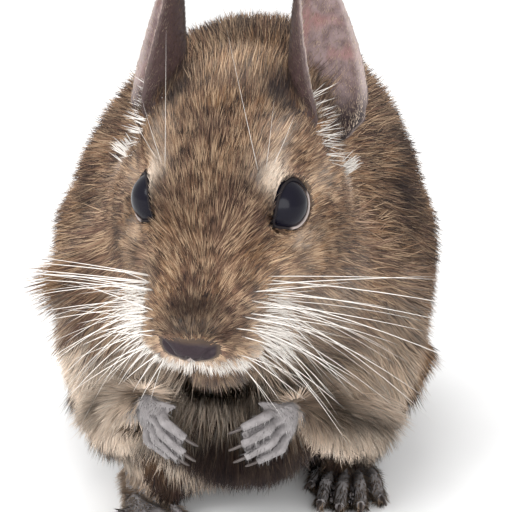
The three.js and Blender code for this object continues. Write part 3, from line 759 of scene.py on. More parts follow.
BODY_STROKES = (
    ((-2, -55, 68), (0, 0.95, 0.3), 12),
    ((0, -15, 82), (0, 1, 0.05), 22),
    ((0, 25, 65), (0, 0.75, -0.65), 20),
    ((0, 45, 30), (0, 0.3, -0.95), 20),
    ((0, 42, 12), (0, 0.9, -0.3), 10),
    ((-2, -76, 30), (0, -0.15, -1), 14),
    ((0, -78, 12), (0, 0.1, -1), 12),
    ((36, -15, 52), (0.1, 0.75, -0.6), 20),
    ((-36, -15, 52), (-0.1, 0.75, -0.6), 20),
    ((27, -48, 55), (0.45, 0.7, -0.35), 13),
    ((-27, -48, 55), (-0.45, 0.7, -0.35), 13),
    ((28, -60, 38), (0.3, 0.25, -0.9), 13),
    ((-28, -60, 38), (-0.3, 0.25, -0.9), 13),
    ((37, -20, 28), (0.1, 0.45, -0.9), 16),
    ((-37, -24, 28), (-0.1, 0.45, -0.9), 16),
    ((27, -42, 12), (0.1, -0.4, -0.9), 10),
    ((-24, -50, 12), (-0.1, -0.4, -0.9), 10),
    ((15, -72, 18), (0.1, -0.35, -0.9), 8),
    ((-17, -72, 20), (-0.1, -0.35, -0.9), 8),
    ((18, -58, 3), (-0.1, -1, -0.1), 8),
    ((-16, -76, 3), (0.1, -1, -0.1), 8),
    ((0, -30, 3), (0, 0.8, 0), 14),
)


def lie_of(places, part):
    """The way the coat lies at each place, before it is laid on the skin"""
    total = np.zeros_like(places)
    for at, way, reach in HEAD_STROKES:
        for side in SIDES if at[0] else (1,):
            middle = on_head(np.array(at) * (side, 1, 1))
            direction = unit(np.array(way) * (side, 1, 1)) @ HEAD_AXES
            total += spot(places, middle, reach * STROKE_SPREAD)[:, None] * direction
    for at, way, reach in BODY_STROKES:
        total += spot(places, at, reach * STROKE_SPREAD)[:, None] * unit(way)
    total[part == "ear"] = (0, 0.24, 0.97)
    tail = np.isin(part, TAIL_NODES)
    turn = np.clip((places[tail, 1] - TAIL_START) / TAIL_RUN, 0, 1) * TAIL_TURN
    total[tail] = np.stack((np.sin(turn), np.cos(turn), -0.05 * np.ones_like(turn)), 1)
    return total


# Marks of the coat: where, how far they reach, and how pale, dark and warm they are. Those on the
# head are in its frame and on both sides.
HEAD_MARKS = (
    ((0, -4, 11), (9, 14, 6), 0, 0.16, 0.3),
    ((0, -15.0, 10), (5.0, 4, 4), 0.15, 0, 1.0),
    ((8.9, -12.0, 10.0), (3.2, 4.2, 3.8), 0, 1.1, 0),
    ((15.2, -16.0, 2.2), (3.0, 3.8, 4.6), 0, 0.9, 0),
    ((9.0, -3.5, 8.8), (2.2, 3.6, 2.4), 0.30, 0, 0.6),
    ((10.0, 2.4, 6.4), (2.7, 2.9, 2.9), 1.7, 0, 0),
    ((12.8, 4.6, -4.4), (3.8, 4.0, 2.8), 0.36, 0, 1.0),
    ((13.0, -5.5, -1.0), (2.2, 2.6, 2.6), 0.45, 0, 0.5),
    ((15, -3, -9), (5, 7, 5), 0.0, 0.42, 0.7),
    ((9, 13, -6), (3, 4, 3), 0.10, 0, 0.7),
    ((8.0, 18.2, -8.0), (2.6, 3.6, 2.4), 0.32, 0.05, 0.5),
    ((8.0, 15.5, -12.5), (5.0, 7.5, 4.4), 1.0, 0, 0),
    ((3.0, 22.4, -12.4), (5.0, 4.0, 2.0), 0.95, 0, 0),
    ((0.4, 24.2, -10.6), (4.6, 2, 1.0), 0.55, 0.1, 0),
    ((0, 22.6, -2.3), (4.5, 3.2, 2.0), 0, 0.9, 0),
    ((1.6, 21.2, -0.2), (2.8, 2.4, 1.6), 0, 0.55, 0),
    ((2.4, 24.4, -4.3), (2.4, 1.2, 0.8), 0.3, 0.35, 0),
    ((0, 19, -18.5), (7, 6, 3.6), 0.0, 0.5, 0),
    ((11, 2, -19), (6, 12, 5), 0.45, 0.15, 0.2),
    ((0, 8, -25), (12, 12, 5), 0.8, 0.0, 0.1),
    ((16.2, -14.5, -5.8), (2.9, 3.0, 2.8), 1.0, 0, 0),
)
BODY_MARKS = (
    ((0, -5, 84), (18, 46, 12), 0, 0.26, 0),
    ((0, -58, 76), (15, 8, 8), 0, 0.6, 0),
    ((38, -30, 28), (16, 36, 14), 0.05, 0, 0.75),
    ((-38, -30, 28), (16, 36, 14), 0.1, 0, 0.8),
    ((-3, -76, 24), (16, 10, 8), 0.75, 0, 0.3),
    ((-28, -65, 28), (12, 12, 16), 1.7, 0, 0.1),
    ((-22, -70, 20), (11, 12, 11), 1.5, 0, 0),
    ((24, -66, 26), (13, 11, 8), 0.62, 0.0, 1.0),
    ((23, -62, 34), (7, 8, 7), 0.5, 0.0, 0.6),
    ((17, -74, 14), (15, 11, 7.0), 1.5, 0, 0),
    ((27, -64, 15), (9, 10, 8), 1.3, 0, 0.1),
    ((-5, -75, 32), (15, 9, 7), 1.2, 0.0, 0.2),
    ((34, -38, 50), (12, 20, 18), 0, 0.35, 0.3),
    # painted shade: dark under the belly, near the floor
    ((0, -60, 1.0), (32, 36, 9.0), 0, 0.8, 0),
    ((-17, -66, 8), (9, 13, 10), 0.85, 0.05, 0.3),
    ((24, -36, 4), (8, 20, 5), 0, 0.5, 0.1),
)


# How pale, dark and warm whole parts are
PART_MARKS = {
    "tail_base": (0.0, 0.35, 0.2),
    "tail_middle": (0.0, 0.6, 0.1),
    "tail_brush": (0.0, 1.0, 0.0),
    "hind_foot": (0.32, 0.12, 0.4),
    "forepaw": (1.0, 0.0, 0.0),
}
RIGHT_FOOT_MARKS = (0.74, 0.0, 0.2)
USUAL_WARMTH = 0.3


def painted_underside_shade(places, part):
    """1 where the coat is painted dark as shade: on the belly between the legs and on the left leg's low
    part, and 0 off them
    """
    rise = 5.5 * (1 - smoothstep(6, 15, np.abs(places[:, 0] + 1)))
    low = (1 - smoothstep(16.0, 20.5, places[:, 2] - rise)) * (1 - smoothstep(-64, -46, places[:, 1]))
    return low * np.where(part == "trunk", 1.0, np.isin(part, ("thigh", "shank")) * (places[:, 0] > 0))


def marking_of(places, part, ears):
    """How pale, dark and warm the coat is at each place, from 0 to 1"""
    local = head_local(places)
    marks = np.zeros((len(places), 3))
    marks[:, 2] = USUAL_WARMTH
    for at, reach, *strengths in HEAD_MARKS:
        for side in SIDES if at[0] else (1,):
            share = spot(local, np.array(at) * (side, 1, 1), reach)
            marks += share[:, None] * (np.array(strengths) - marks)
    for at, reach, *strengths in BODY_MARKS:
        share = spot(places, at, reach) * ~np.isin(part, ("head", "ear", "nose"))
        marks += share[:, None] * (np.array(strengths) - marks)
    on_body = np.isin(part, ("neck", "trunk", "thigh", "upper_arm", "shank"))
    drawn = places * np.where(on_body[:, None], (1.0, 0.7, 0.42), 1.0)
    patches = speckle(drawn, 4.2, 3) * 0.5 + speckle(places, 2.0, 4) * 0.5
    patches = np.clip(patches * (1 + 0.8 * on_body), 0, 1)
    marks[:, 1] += (0.45 + 0.35 * on_body) * patches * (1 - 0.6 * np.clip(marks[:, 0], 0, 1))
    marks[:, 2] += 0.5 * speckle(places, 3.4, 5)
    marks[:, 0] += 0.25 * marks[:, 0] * speckle(places, 2.4, 6)
    for name, values in PART_MARKS.items():
        marks[part == name] = values
    marks[(part == "hind_foot") & (places[:, 0] < 0)] = RIGHT_FOOT_MARKS
    # painted shade: low on the belly and the left leg the coat is made dark and never pale
    low = painted_underside_shade(places, part)
    marks[:, 0] *= 1 - low
    marks[:, 1] = np.maximum(marks[:, 1], 0.88 * low)
    _, inner, edge = ears
    leaf = part == "ear"
    marks[leaf] = np.stack((0.08 + 0.3 * inner, 0.75 - 0.7 * inner, 0.2 - 0.1 * inner), 1)[leaf]
    marks[leaf, 0] += 0.5 * edge[leaf]
    return np.clip(marks, 0, 1)


def refine(piece, chosen):
    """Subdivides the faces whose points are all chosen"""
    select_only(piece)
    piece.data.vertices.foreach_set("select", chosen)
    picked = np.zeros(len(piece.data.polygons), bool)
    for number, polygon in enumerate(piece.data.polygons):
        picked[number] = all(chosen[n] for n in polygon.vertices)
    piece.data.polygons.foreach_set("select", picked)
    bpy.ops.object.mode_set(mode="EDIT")
    bpy.ops.mesh.select_mode(type="FACE")
    bpy.ops.mesh.subdivide(number_cuts=1, smoothness=0.0)
    bpy.ops.object.mode_set(mode="OBJECT")


def skin_finish():
    """The skin's finish: dark under the fur, with bare ears, soles, lips and a leathery nose. It has a
    painted highlight on the groove below the nose and painted shade in the creases of the digits and the
    hollow of each ear.
    """
    finish = Finish("degu_skin", Roughness=0.62, Specular_IOR_Level=0.2)
    pale, dark, warm = finish.parts("marking")
    pad, thin, foot = finish.parts("bare")
    inner, shade, lip = finish.parts("zone")
    mottle = finish.noise(1.6, 3)
    fine = finish.noise(0.28, 2)
    fur = finish.mix(pale, (0.050, 0.034, 0.026), (0.40, 0.32, 0.25))
    fur = finish.mix(warm * 0.5, fur, (0.09, 0.052, 0.030))
    fur = finish.mix(dark, fur, (0.014, 0.011, 0.010))
    hollow = finish.mix(mottle.between(0.3, 0.7), (0.12, 0.080, 0.079), (0.21, 0.152, 0.150))
    hollow = finish.mix(finish.noise(5.0, 1).between(0.5, 0.7) * 0.6, hollow, (0.27, 0.135, 0.125))
    outside = finish.mix(mottle, (0.026, 0.014, 0.014), (0.062, 0.035, 0.033))
    leaf = finish.mix(inner, outside, hollow)
    leaf = finish.mix(pale.between(0.5, 0.95) * 0.7, leaf, (0.40, 0.335, 0.32))
    sole = finish.mix(mottle, (0.09, 0.081, 0.081), (0.30, 0.28, 0.28))
    # painted shade: the soles darken in the creases between the fingers and toes
    sole = finish.mix(shade.between(0.25, 1.0) * 0.8, sole, (0.05, 0.044, 0.045))
    brown = finish.mix(mottle, (0.045, 0.032, 0.028), (0.13, 0.095, 0.082))
    sole = finish.mix(dark.between(0.3, 0.5), sole, brown)
    leather = finish.mix(fine, (0.010, 0.006, 0.008), (0.028, 0.016, 0.021))
    colour = finish.mix(foot, finish.mix(thin, fur, leaf), sole)
    # pale on the lids' edge behind each eye, their own colour, and on the groove below the nose, a painted
    # highlight
    colour = finish.mix(lip, colour, (0.42, 0.36, 0.34))
    colour = finish.mix(pad, colour, leather)
    # near black: painted shade in the creases between the digits and in each ear's hollow near its foot,
    # and the lids' dark front edge
    colour = finish.mix(shade, colour, (0.010, 0.007, 0.008))
    grain = finish.noise(0.35, 3) * 0.6 + finish.noise(0.12, 1) * 0.4
    finish.wear(
        Base_Color=colour,
        Roughness=0.72 - pad * 0.34 - thin * 0.1 + (mottle - 0.5) * 0.15,
        Normal=finish.bump(grain, 0.5, 0.2),
    )
    return finish.material


class DEGU_OT_skin(bpy.types.Operator):
    """Makes one skin of all the flesh, inside it by the depth of the coat"""

    bl_idname = "degu.skin"
    bl_label = "Skin"

    def execute(self, context):
        sizes = context.scene.degu_skin
        solids = [flesh_copy(node, FLESH_GROWTH) for node in FLESH]
        node_parts = [part_of(node) for node in FLESH]
        tree, owners = parts_tree(solids)
        skin = joined(solids, "skin")
        apply_modifier(skin, "REMESH", mode="VOXEL", voxel_size=sizes.cell)
        places = places_of(skin)
        owner = owners[nearest_faces(tree, places)]
        edges = edges_of(skin)
        table = np.array([PARTS[name] for name in node_parts])[owner]
        rounds = blurred(table[:, ROUNDS], edges, BLEND_ROUNDS)
        places = smoothed_places(places, edges, rounds)
        move_to(skin, places)
        table = blurred(table, edges, DEPTH_ROUNDS)
        places = places - depth_of(places, table)[:, None] * normals_of(skin)
        places = blurred(places, edges, 2, np.where(rounds > 20, 0.5, 0.1))
        move_to(skin, places)
        refine(skin, needs_detail(places, head_local(places)))
        places = shape_digits(places_of(skin), normals_of(skin), edges_of(skin))
        move_to(skin, places)
        local = shape_lids(head_local(places))
        local = shape_nose(local, normals_of(skin) @ HEAD_AXES.T)
        places = on_head(local)
        move_to(skin, places)
        thin_out(skin, needs_detail(places, local), sizes.triangles)
        rims = [mesh_piece("lid_rim", *lid_rim(side), None) for side in SIDES]
        skin = joined([skin, *rims], "skin")
        finish_skin(skin, node_parts, tree, owners)
        return {"FINISHED"}


def needs_detail(places, local):
    """Whether each place is on the face, a forepaw or the toes, where the skin's mesh is finest"""
    x, y, z = local.T
    face = (y > FACE_BACK) & (z > FACE_LOW) & (np.abs(x) < FACE_SIDE)
    for side in SIDES:
        face |= np.linalg.norm(local - EYE_AT * (side, 1, 1), axis=1) < EYE_REACH
        for lines in digit_lines(side):
            ends = np.concatenate([line for line, _ in lines])
            inside = (places > ends.min(0) - DIGIT_REACH) & (places < ends.max(0) + DIGIT_REACH)
            face |= inside.all(1)
    return face


def thin_out(piece, detail, most):
    """Simplifies a mesh, least where it needs detail"""
    count = len(triangles_of(piece))
    if count <= most:
        return
    group = piece.vertex_groups.new(name="spare")
    group.add(np.nonzero(~detail)[0].tolist(), 1.0, "ADD")
    group.add(np.nonzero(detail)[0].tolist(), SPARED, "ADD")
    weight = {"vertex_group": "spare", "vertex_group_factor": 1.0}
    apply_modifier(piece, "DECIMATE", ratio=most / count, **weight)
    piece.vertex_groups.clear()


def depth_of(places, table):
    """The coat's depth, which is least on the muzzle and round the eyes"""
    local = head_local(places)
    depth = table[:, DEPTH].copy()
    head = smoothstep(0, 14, local[:, 1]) * (local[:, 2] > -30)
    depth += head * (FACE_DEPTH - depth) * (depth < 2.5)
    for side in SIDES:
        eye = spot(local, EYE_AT * (side, 1, 1), 6)
        depth -= eye * 0.6 * np.minimum(depth, 1.2)
    return np.maximum(depth, LEAST_DEPTH)


def fur_sizes(places, local, part, table):
    """A tuft's length, width and lift, and how thick the coat is, at each place on the skin"""
    length, width, lift, density = table[:, LENGTH], table[:, WIDTH], table[:, LIFT], table[:, DENSITY]
    muzzle = smoothstep(8, 23, local[:, 1]) * np.isin(part, ("head", "nose"))
    length = length * (1 - 0.50 * muzzle)
    width = width * (1 - 0.28 * muzzle)
    density = density * (1 + 0.35 * muzzle)
    nape = (1 - smoothstep(-18, -9, local[:, 1])) * (local[:, 2] > 0) * (part == "head")
    length = length * (1 + 0.8 * nape)
    lift = lift + 12 * nape
    jaw = (1 - smoothstep(-17, -11, local[:, 2])) * (local[:, 1] > -14) * (part == "head")
    jaw = jaw * (1 - smoothstep(17, 22, local[:, 1]))
    length = length * (1 + 0.9 * jaw)
    lift = lift + 14 * jaw
    low = (1 - smoothstep(14, 21, places[:, 2])) * np.isin(part, ("trunk", "thigh"))
    length = length * (1 - 0.18 * low)
    throat = spot(places, (-4, -75, 31), (14, 8, 7)) * np.isin(part, ("neck", "trunk"))
    length = length * (1 + 0.3 * throat)
    lift = lift + 24 * throat
    return {"length": length, "width": width, "lift": lift, "density": density}


def clear_eyes(fur, local, normals):
    """Shortens the coat round the eyes and turns it off them. Gives the lids' pale and dark edges."""
    rim, shade = np.zeros(len(local)), np.zeros(len(local))
    for side in SIDES:
        away, reach, turn, beyond = around_eye(local, side)
        close = np.exp(-((np.maximum(beyond, 0) * EYE_RADIUS / 2.2) ** 2)) * (reach < 9)
        fur["length"] = fur["length"] * (1 - 0.72 * close)
        fur["width"] = fur["width"] * (1 - 0.35 * close)
        bare = (reach < 5.4) & (beyond < 0.07)
        fur["density"] = np.where(bare, 0, fur["density"] * (1 + 0.5 * close))
        toward = -unit(away) @ eye_frame(side)[1] @ HEAD_AXES
        toward = along_skin(toward, normals)
        inward = np.maximum(np.einsum("ij,ij->i", fur["lie"], toward), 0)
        fur["lie"] = fur["lie"] - (1.15 * close * inward)[:, None] * toward
        edge = (reach < 5.2) & (np.abs(beyond) < 0.13)
        behind = smoothstep(0.3, 0.6, np.cos(turn + 1.95))
        rim = np.maximum(rim, edge * behind)
        shade = np.maximum(shade, edge * (1 - behind))
    fur["lie"] = unit(fur["lie"])
    return rim, shade


def clear_digits(fur, places, part):
    """Thins the coat on the fingers and toes. Gives the shade painted dark in the creases between them."""
    gap, _, along, crease = digits_near(places)
    digit = smoothstep(0.0, 0.8, along) * (gap < 0.8)
    fur["density"] = fur["density"] * (1 - 0.35 * digit) * (1 - crease * (gap < 1.3))
    fur["density"] = fur["density"] * np.where(part == "forepaw", 1 - 0.45 * digit, 1)
    # painted shade in the creases between the digits
    return 0.8 * crease * (gap < 1.3) * smoothstep(-0.1, 0.4, along)


def clear_nose(fur, local):
    """Bares the nose's pad and the groove below it, and gives where they are"""
    pad = nose_pad(local)
    fur["density"] = fur["density"] * (1 - smoothstep(0.1, 0.5, pad))
    x = np.abs(local[:, 0] + NOSE_SHIFT)
    groove = (1 - smoothstep(0.35, 0.8, x)) * (local[:, 1] > 20) * smoothstep(-13.4, -12.8, local[:, 2])
    groove = groove * (1 - smoothstep(-9.9, -9.3, local[:, 2]))
    fur["density"] = fur["density"] * (1 - groove)
    return pad, groove


def finish_skin(skin, node_parts, tree, owners):
    """Works out the fur's sizes and lie and the marks at each point, and unwraps the skin"""
    places, normals, edges = places_of(skin), normals_of(skin), edges_of(skin)
    owner = owners[nearest_faces(tree, places)]
    part = np.array(node_parts)[owner]
    table = blurred(np.array([PARTS[name] for name in node_parts])[owner], edges, BLEND_ROUNDS)
    local = head_local(places)
    lie = along_skin(lie_of(places, part), normals)
    fur = fur_sizes(places, local, part, table)
    fur["lie"] = unit(blurred(lie, edges, 8))
    rim, shade = clear_eyes(fur, local, normals)
    shade = np.maximum(shade, clear_digits(fur, places, part))
    side = np.where(local[:, 0] > 0, 1, -1)
    ears = [ear_places(places, normals, one) for one in SIDES]
    ears = [np.where(side == 1, left, right) for left, right in zip(*ears)]
    leaf = part == "ear"
    # painted shade: each ear's hollow is darkened near its foot, where the canal opens
    shade = np.maximum(shade, 0.9 * leaf * ears[1] * (1 - smoothstep(0.12, 0.34, ears[0])))
    pad, groove = clear_nose(fur, local)
    # painted highlight: the groove below the nose is painted pale; the lids' pale edge behind each eye is
    # their own colour
    lip = np.maximum(0.8 * groove, 0.7 * rim)
    bare = np.stack((pad, leaf, np.isin(part, FEET)), 1).astype(float)
    bare[:, 1:] = blurred(bare[:, 1:], edges, 4)
    kept(skin, "marking", marking_of(places, part, ears))
    kept(skin, "bare", bare)
    kept(skin, "zone", np.stack((ears[1], shade, lip), 1))
    kept(skin, "lie", fur["lie"])
    kept(skin, "tuft", np.stack((fur["length"], fur["width"], np.radians(fur["lift"])), 1))
    kept(skin, "density", fur["density"])
    kept(skin, "region", np.array([list(PARTS).index(name) for name in part], float))
    skin.data.materials.clear()
    skin.data.materials.append(skin_finish())
    select_only(skin)
    bpy.ops.object.shade_smooth()
    unwrap(skin)
    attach(skin, BODY)
    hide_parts(*FLESH)


def unwrap(piece):
    """Unwraps a piece for its bake map"""
    layer = piece.data.uv_layers.new(name="OFBake")
    piece.data.uv_layers.active = layer
    select_only(piece)
    bpy.ops.object.mode_set(mode="EDIT")
    bpy.ops.mesh.select_all(action="SELECT")
    bpy.ops.uv.smart_project(angle_limit=math.radians(60), island_margin=0.002)
    bpy.ops.object.mode_set(mode="OBJECT")


# The coat

# For each stretch of the coat: its parts of the body, seed, slot, finish, whether its tufts are straight
# and how far each one strays from the coat's lie
COATS = {
    "body": (("neck", "trunk", *LIMBS), 21, "coat", "coat", True, 0.25),
    "head": (("head", "nose"), 22, "coat", "coat", True, 0.16),
    "feet": (FEET, 23, "paw", "paw_hair", True, 0.12),
    "ears": (("ear",), 24, "ear", "coat", True, 0.25),
    "tail": (TAIL_NODES, 25, "tail", "coat", False, 0.12),
}
BUNCH = 9  # tufts whose tips lean together
PULL = 0.45  # how far they lean
LIKENESS = 0.6  # how much they share a colour
CONTRAST = 1.5  # how far the tufts' colours spread
SWIRL = 0.26  # how far the coat's lie wanders in soft swirls
SINK = 0.12  # how far a tuft's root is under the skin, for each millimetre of its length up to 3
BEND_AT = 0.4  # how far along a bent tuft its middle is
BEND_RISE = 1.45  # how much more its first part is lifted than the whole
LEAST_HEIGHT = 0.05  # of the coat over the floor
SOFTNESS = 0.45  # how much of the skin's normal a tuft shades with
MOST_TRIANGLES = 198000  # in a piece of the coat
PATCH = 0.001  # the unit of a tuft's patch on the bake map


def roots_on(skin, names, crowd, dice):
    """Random places on the skin for tufts, with all that the skin says there"""
    corners = triangles_of(skin)
    region = recalled(skin, "region")[corners[:, 0]]
    numbers = [list(PARTS).index(name) for name in names]
    places = places_of(skin)
    a, b, c = (places[corners[:, n]] for n in range(3))
    area = np.linalg.norm(np.cross(b - a, c - a), axis=1) / 2
    density = recalled(skin, "density")[corners].mean(1)
    share = np.cumsum(area * density * np.isin(region, numbers)) * crowd
    count = int(share[-1])
    picks = (np.arange(count) + dice.random(count)) * share[-1] / count
    chosen = np.minimum(np.searchsorted(share, picks), len(corners) - 1)
    one, two = dice.random(count), dice.random(count)
    fold = one + two > 1
    one, two = np.where(fold, 1 - one, one), np.where(fold, 1 - two, two)
    weights = np.stack((1 - one - two, one, two), 1)
    trio = corners[chosen]

    def spread(values):
        return np.einsum("ij,ijk->ik", weights, values[trio])

    loops = read(skin.data.loop_triangles, "loops", 3, np.int32)
    uv = read(skin.data.uv_layers["OFBake"].data, "uv", 2)[loops[chosen]]
    return {
        "at": spread(places),
        "normal": unit(spread(normals_of(skin))),
        "lie": spread(recalled(skin, "lie")),
        "tuft": spread(recalled(skin, "tuft")),
        "marking": spread(recalled(skin, "marking")),
        "uv": np.einsum("ij,ijk->ik", weights, uv),
    }


def tuft_shapes(roots, dice, straight, stray):
    """The points of each tuft and its leader's number: three round its root or its middle and its tip"""
    count = len(roots["at"])
    normal = roots["normal"]
    length, width, lift = roots["tuft"].T
    length = length * dice.uniform(0.75, 1.2, count)
    swirl = np.stack([speckle(roots["at"], 3.5, seed) for seed in (11, 12, 13)], 1)
    lie = roots["lie"] + SWIRL * swirl + stray * dice.normal(0, 1, (count, 3))
    lie = along_skin(lie, normal)
    rise = np.clip(lift * dice.normal(1, 0.25, count), 0.05, 1.2)
    early = rise * BEND_RISE
    middle = (np.cos(early)[:, None] * lie + np.sin(early)[:, None] * normal) * (BEND_AT * length)[:, None]
    tip = (np.cos(rise)[:, None] * lie + np.sin(rise)[:, None] * normal) * length[:, None]
    leaders = dice.choice(count, max(count // BUNCH, 1), replace=False)
    tree = KDTree(len(leaders))
    for number, leader in enumerate(leaders):
        tree.insert(roots["at"][leader], number)
    tree.balance()
    led = leaders[[tree.find(place)[1] for place in roots["at"].tolist()]]
    goal = roots["at"][led] + tip[led] - roots["at"]
    near = np.exp(-((np.linalg.norm(goal - tip, axis=1) / (0.6 * length)) ** 2))
    tip = tip + (PULL * near * dice.uniform(0.4, 1, count))[:, None] * (goal - tip)
    across = unit(np.cross(lie, normal))
    root = roots["at"] - SINK * normal * np.minimum(length, 3)[:, None]
    ring = root if straight else roots["at"] + middle
    points = [
        root,
        ring + across * (0.5 * width)[:, None],
        ring + normal * ((0.5 if straight else 0.3) * width)[:, None],
        ring - across * (0.5 * width)[:, None],
        roots["at"] + tip,
    ]
    points = np.stack(points[1:] if straight else points, 1)
    points[..., 2] = np.maximum(points[..., 2], LEAST_HEIGHT)
    return points, led


def tuft_normals(points, normal):
    """A normal for each point of each tuft, drawn towards the skin's so that the coat shades softly"""
    own = unit(points - points.mean(1, keepdims=True))
    own[:, -1] = own[:, -2] * 0.5 + own[:, 1] * 0.5
    return unit((1 - SOFTNESS) * own + SOFTNESS * normal[:, None])


# For a bent tuft and a straight one: triangles, how far along it each point is, and the point's place
# on the bake map
TUFTS = {
    False: (
        np.array(((1, 2, 0), (2, 3, 0), (3, 1, 0), (2, 1, 4), (3, 2, 4), (1, 3, 4))),
        np.array((0.0, BEND_AT, BEND_AT, BEND_AT, 1.0)),
        np.array(((-1.5, 0), (-0.4, 1.3), (-0.2, 0), (-0.4, -1.3), (1.5, 0))) * PATCH,
    ),
    True: (
        np.array(((1, 0, 3), (2, 1, 3), (0, 2, 3), (0, 1, 2))),
        np.array((0.15, 0.0, 0.15, 1.0)),
        np.array(((-1.2, 1.3), (-1.5, 0), (-1.2, -1.3), (1.5, 0))) * PATCH,
    ),
}


def coat_piece(name, roots, points, straight, slot, kind):
    """One joined mesh of many tufts"""
    corners, along, patch = TUFTS[straight]
    count, size = points.shape[:2]
    faces = corners[None] + size * np.arange(count)[:, None, None]
    piece = mesh_piece(name, points.reshape(-1, 3), faces.reshape(-1, 3), coat_finish(kind))
    normals = tuft_normals(points, roots["normal"]).reshape(-1, 3)
    piece.data.normals_split_custom_set_from_vertices(normals)
    kept(piece, "marking", np.repeat(roots["marking"], size, 0))
    hair = np.repeat(roots["hair"][:, None], size, 1)
    hair[..., 0] = along
    kept(piece, "hair", hair.reshape(-1, 3))
    uv = np.clip(roots["uv"][:, None] + patch, 0, 1)[:, corners]
    layer = piece.data.uv_layers.new(name="OFBake")
    layer.data.foreach_set("uv", uv.astype(np.float32).ravel())
    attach(piece, BODY)


def coat_finish(kind):
    """The finish of the coat, or of the fine grey hair of the feet"""
    found = bpy.data.materials.get(f"degu_{kind}")
    if found:
        return found
    finish = Finish(f"degu_{kind}", Roughness=0.6, Specular_IOR_Level=0.25)
    marking, hair = finish.parts("marking"), finish.parts("hair")
    colour = agouti(finish, marking, hair)
    if kind == "paw_hair":
        grey = finish.mix(hair[1], (0.07, 0.065, 0.065), (0.50, 0.48, 0.47))
        colour = finish.mix(marking[0].between(0.75, 0.95), colour, grey)
    finish.wear(Base_Color=colour)
    return finish.material


def grow_coat(stretch, crowd):
    """Grows a stretch of the coat, in as many pieces as its triangles need"""
    parts, seed, slot, kind, straight, stray = COATS[stretch]
    dice = np.random.default_rng(seed)
    skin = bpy.data.objects["skin"]
    roots = roots_on(skin, parts, crowd, dice)
    points, led = tuft_shapes(roots, dice, straight, stray)
    count = len(points)
    own = dice.random((count, 3))
    mixed = LIKENESS * own[led] + (1 - LIKENESS) * own
    roots["hair"] = np.clip((mixed - 0.5) * CONTRAST + 0.5, 0, 1)
    order = dice.permutation(count)
    pieces = -(-count * len(TUFTS[straight][0]) // MOST_TRIANGLES)
    for number, chosen in enumerate(np.array_split(order, pieces)):
        part = {key: values[chosen] for key, values in roots.items()}
        coat_piece(f"coat_{stretch}_{number + 1}", part, points[chosen], straight, slot, kind)


class DEGU_OT_body_coat(bpy.types.Operator):
    """Grows the coat of the neck, trunk and legs"""

    bl_idname = "degu.body_coat"
    bl_label = "Coat of the body"

    def execute(self, context):
        grow_coat("body", context.scene.degu_coat.crowd)
        return {"FINISHED"}


class DEGU_OT_head_coat(bpy.types.Operator):
    """Grows the short coat of the head"""

    bl_idname = "degu.head_coat"
    bl_label = "Coat of the head"

    def execute(self, context):
        grow_coat("head", context.scene.degu_coat.crowd)
        return {"FINISHED"}


class DEGU_OT_small_coats(bpy.types.Operator):
    """Grows the fine hair of the feet and ears and the coat of the tail"""

    bl_idname = "degu.small_coats"
    bl_label = "Coat of the feet, ears and tail"

    def execute(self, context):
        for stretch in ("feet", "ears", "tail"):
            grow_coat(stretch, context.scene.degu_coat.crowd)
        return {"FINISHED"}


# Eyes, claws and whiskers


class DEGU_OT_eyes(bpy.types.Operator):
    """Makes two smooth eyeballs"""

    bl_idname = "degu.eyes"
    bl_label = "Eyes"

    def execute(self, context):
        for side in SIDES:
            centre = on_head(eye_frame(side)[0])
            select_only(bpy.data.objects["skin"])
            bpy.ops.mesh.primitive_uv_sphere_add(
                segments=64, ring_count=40, radius=EYE_RADIUS * MM, location=Vector(centre * MM)
            )
            eye = bpy.context.object
            eye.name = f"eyeball_{SIDE_NAMES[side]}"
            eye.data.materials.append(eye_finish())
            bpy.ops.object.shade_smooth()
            bpy.ops.object.transform_apply(location=True, rotation=True, scale=True)
            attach(eye, BODY)
            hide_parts(f"eye_{SIDE_NAMES[side]}")
        return {"FINISHED"}


def eye_finish():
    """The dark, wet finish of both eyeballs"""
    found = bpy.data.materials.get("degu_eye")
    if found:
        return found
    gloss = {"Specular_IOR_Level": 0.10, "Coat_Weight": 0.05, "Coat_Roughness": 0.06}
    finish = Finish("degu_eye", Roughness=0.20, **gloss)
    depth = finish.noise(3.0, 1)
    finish.wear(Base_Color=finish.mix(depth, (0.0030, 0.0030, 0.0075), (0.007, 0.006, 0.010)))
    return finish.material


def root_claw(claw, ahead):
    """Draws a claw's root back into the flesh of its finger or toe"""
    places = places_of(claw)
    reach = (places - places.mean(0)) @ ahead
    share = 1 - smoothstep(reach.min() * 0.6, reach.max() * 0.3, reach)
    move_to(claw, places - (CLAW_SINK * share)[:, None] * ahead)


class DEGU_OT_claws(bpy.types.Operator):
    """Rounds the claws of the feet and paws"""

    bl_idname = "degu.claws"
    bl_label = "Claws"

    def execute(self, context):
        finish = Finish("degu_claw", Roughness=0.35)
        streak = finish.noise(0.5, 2)
        finish.wear(Base_Color=finish.mix(streak, (0.025, 0.019, 0.017), (0.075, 0.058, 0.052)))
        for side, side_name in SIDE_NAMES.items():
            for kind, lines in zip(("finger", "toe"), digit_lines(side)):
                nodes = [f"{kind}_claw_{side_name}_{n + 1}" for n in range(len(lines))]
                claws = [flesh_copy(node, CLAW_GROWTH) for node in nodes]
                for claw, (line, _) in zip(claws, lines):
                    root_claw(claw, unit(line[-1] - line[-2]))
                claws = joined(claws, f"{kind}_claws_{side_name}")
                apply_modifier(claws, "SUBSURF", levels=2, render_levels=2)
                claws.data.materials.append(finish.material)
                bpy.ops.object.shade_smooth()
                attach(claws, BODY)
                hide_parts(*nodes)
        return {"FINISHED"}


STRAND_SIDES = 3  # of a hair
STRAND_STEPS = 7  # along it


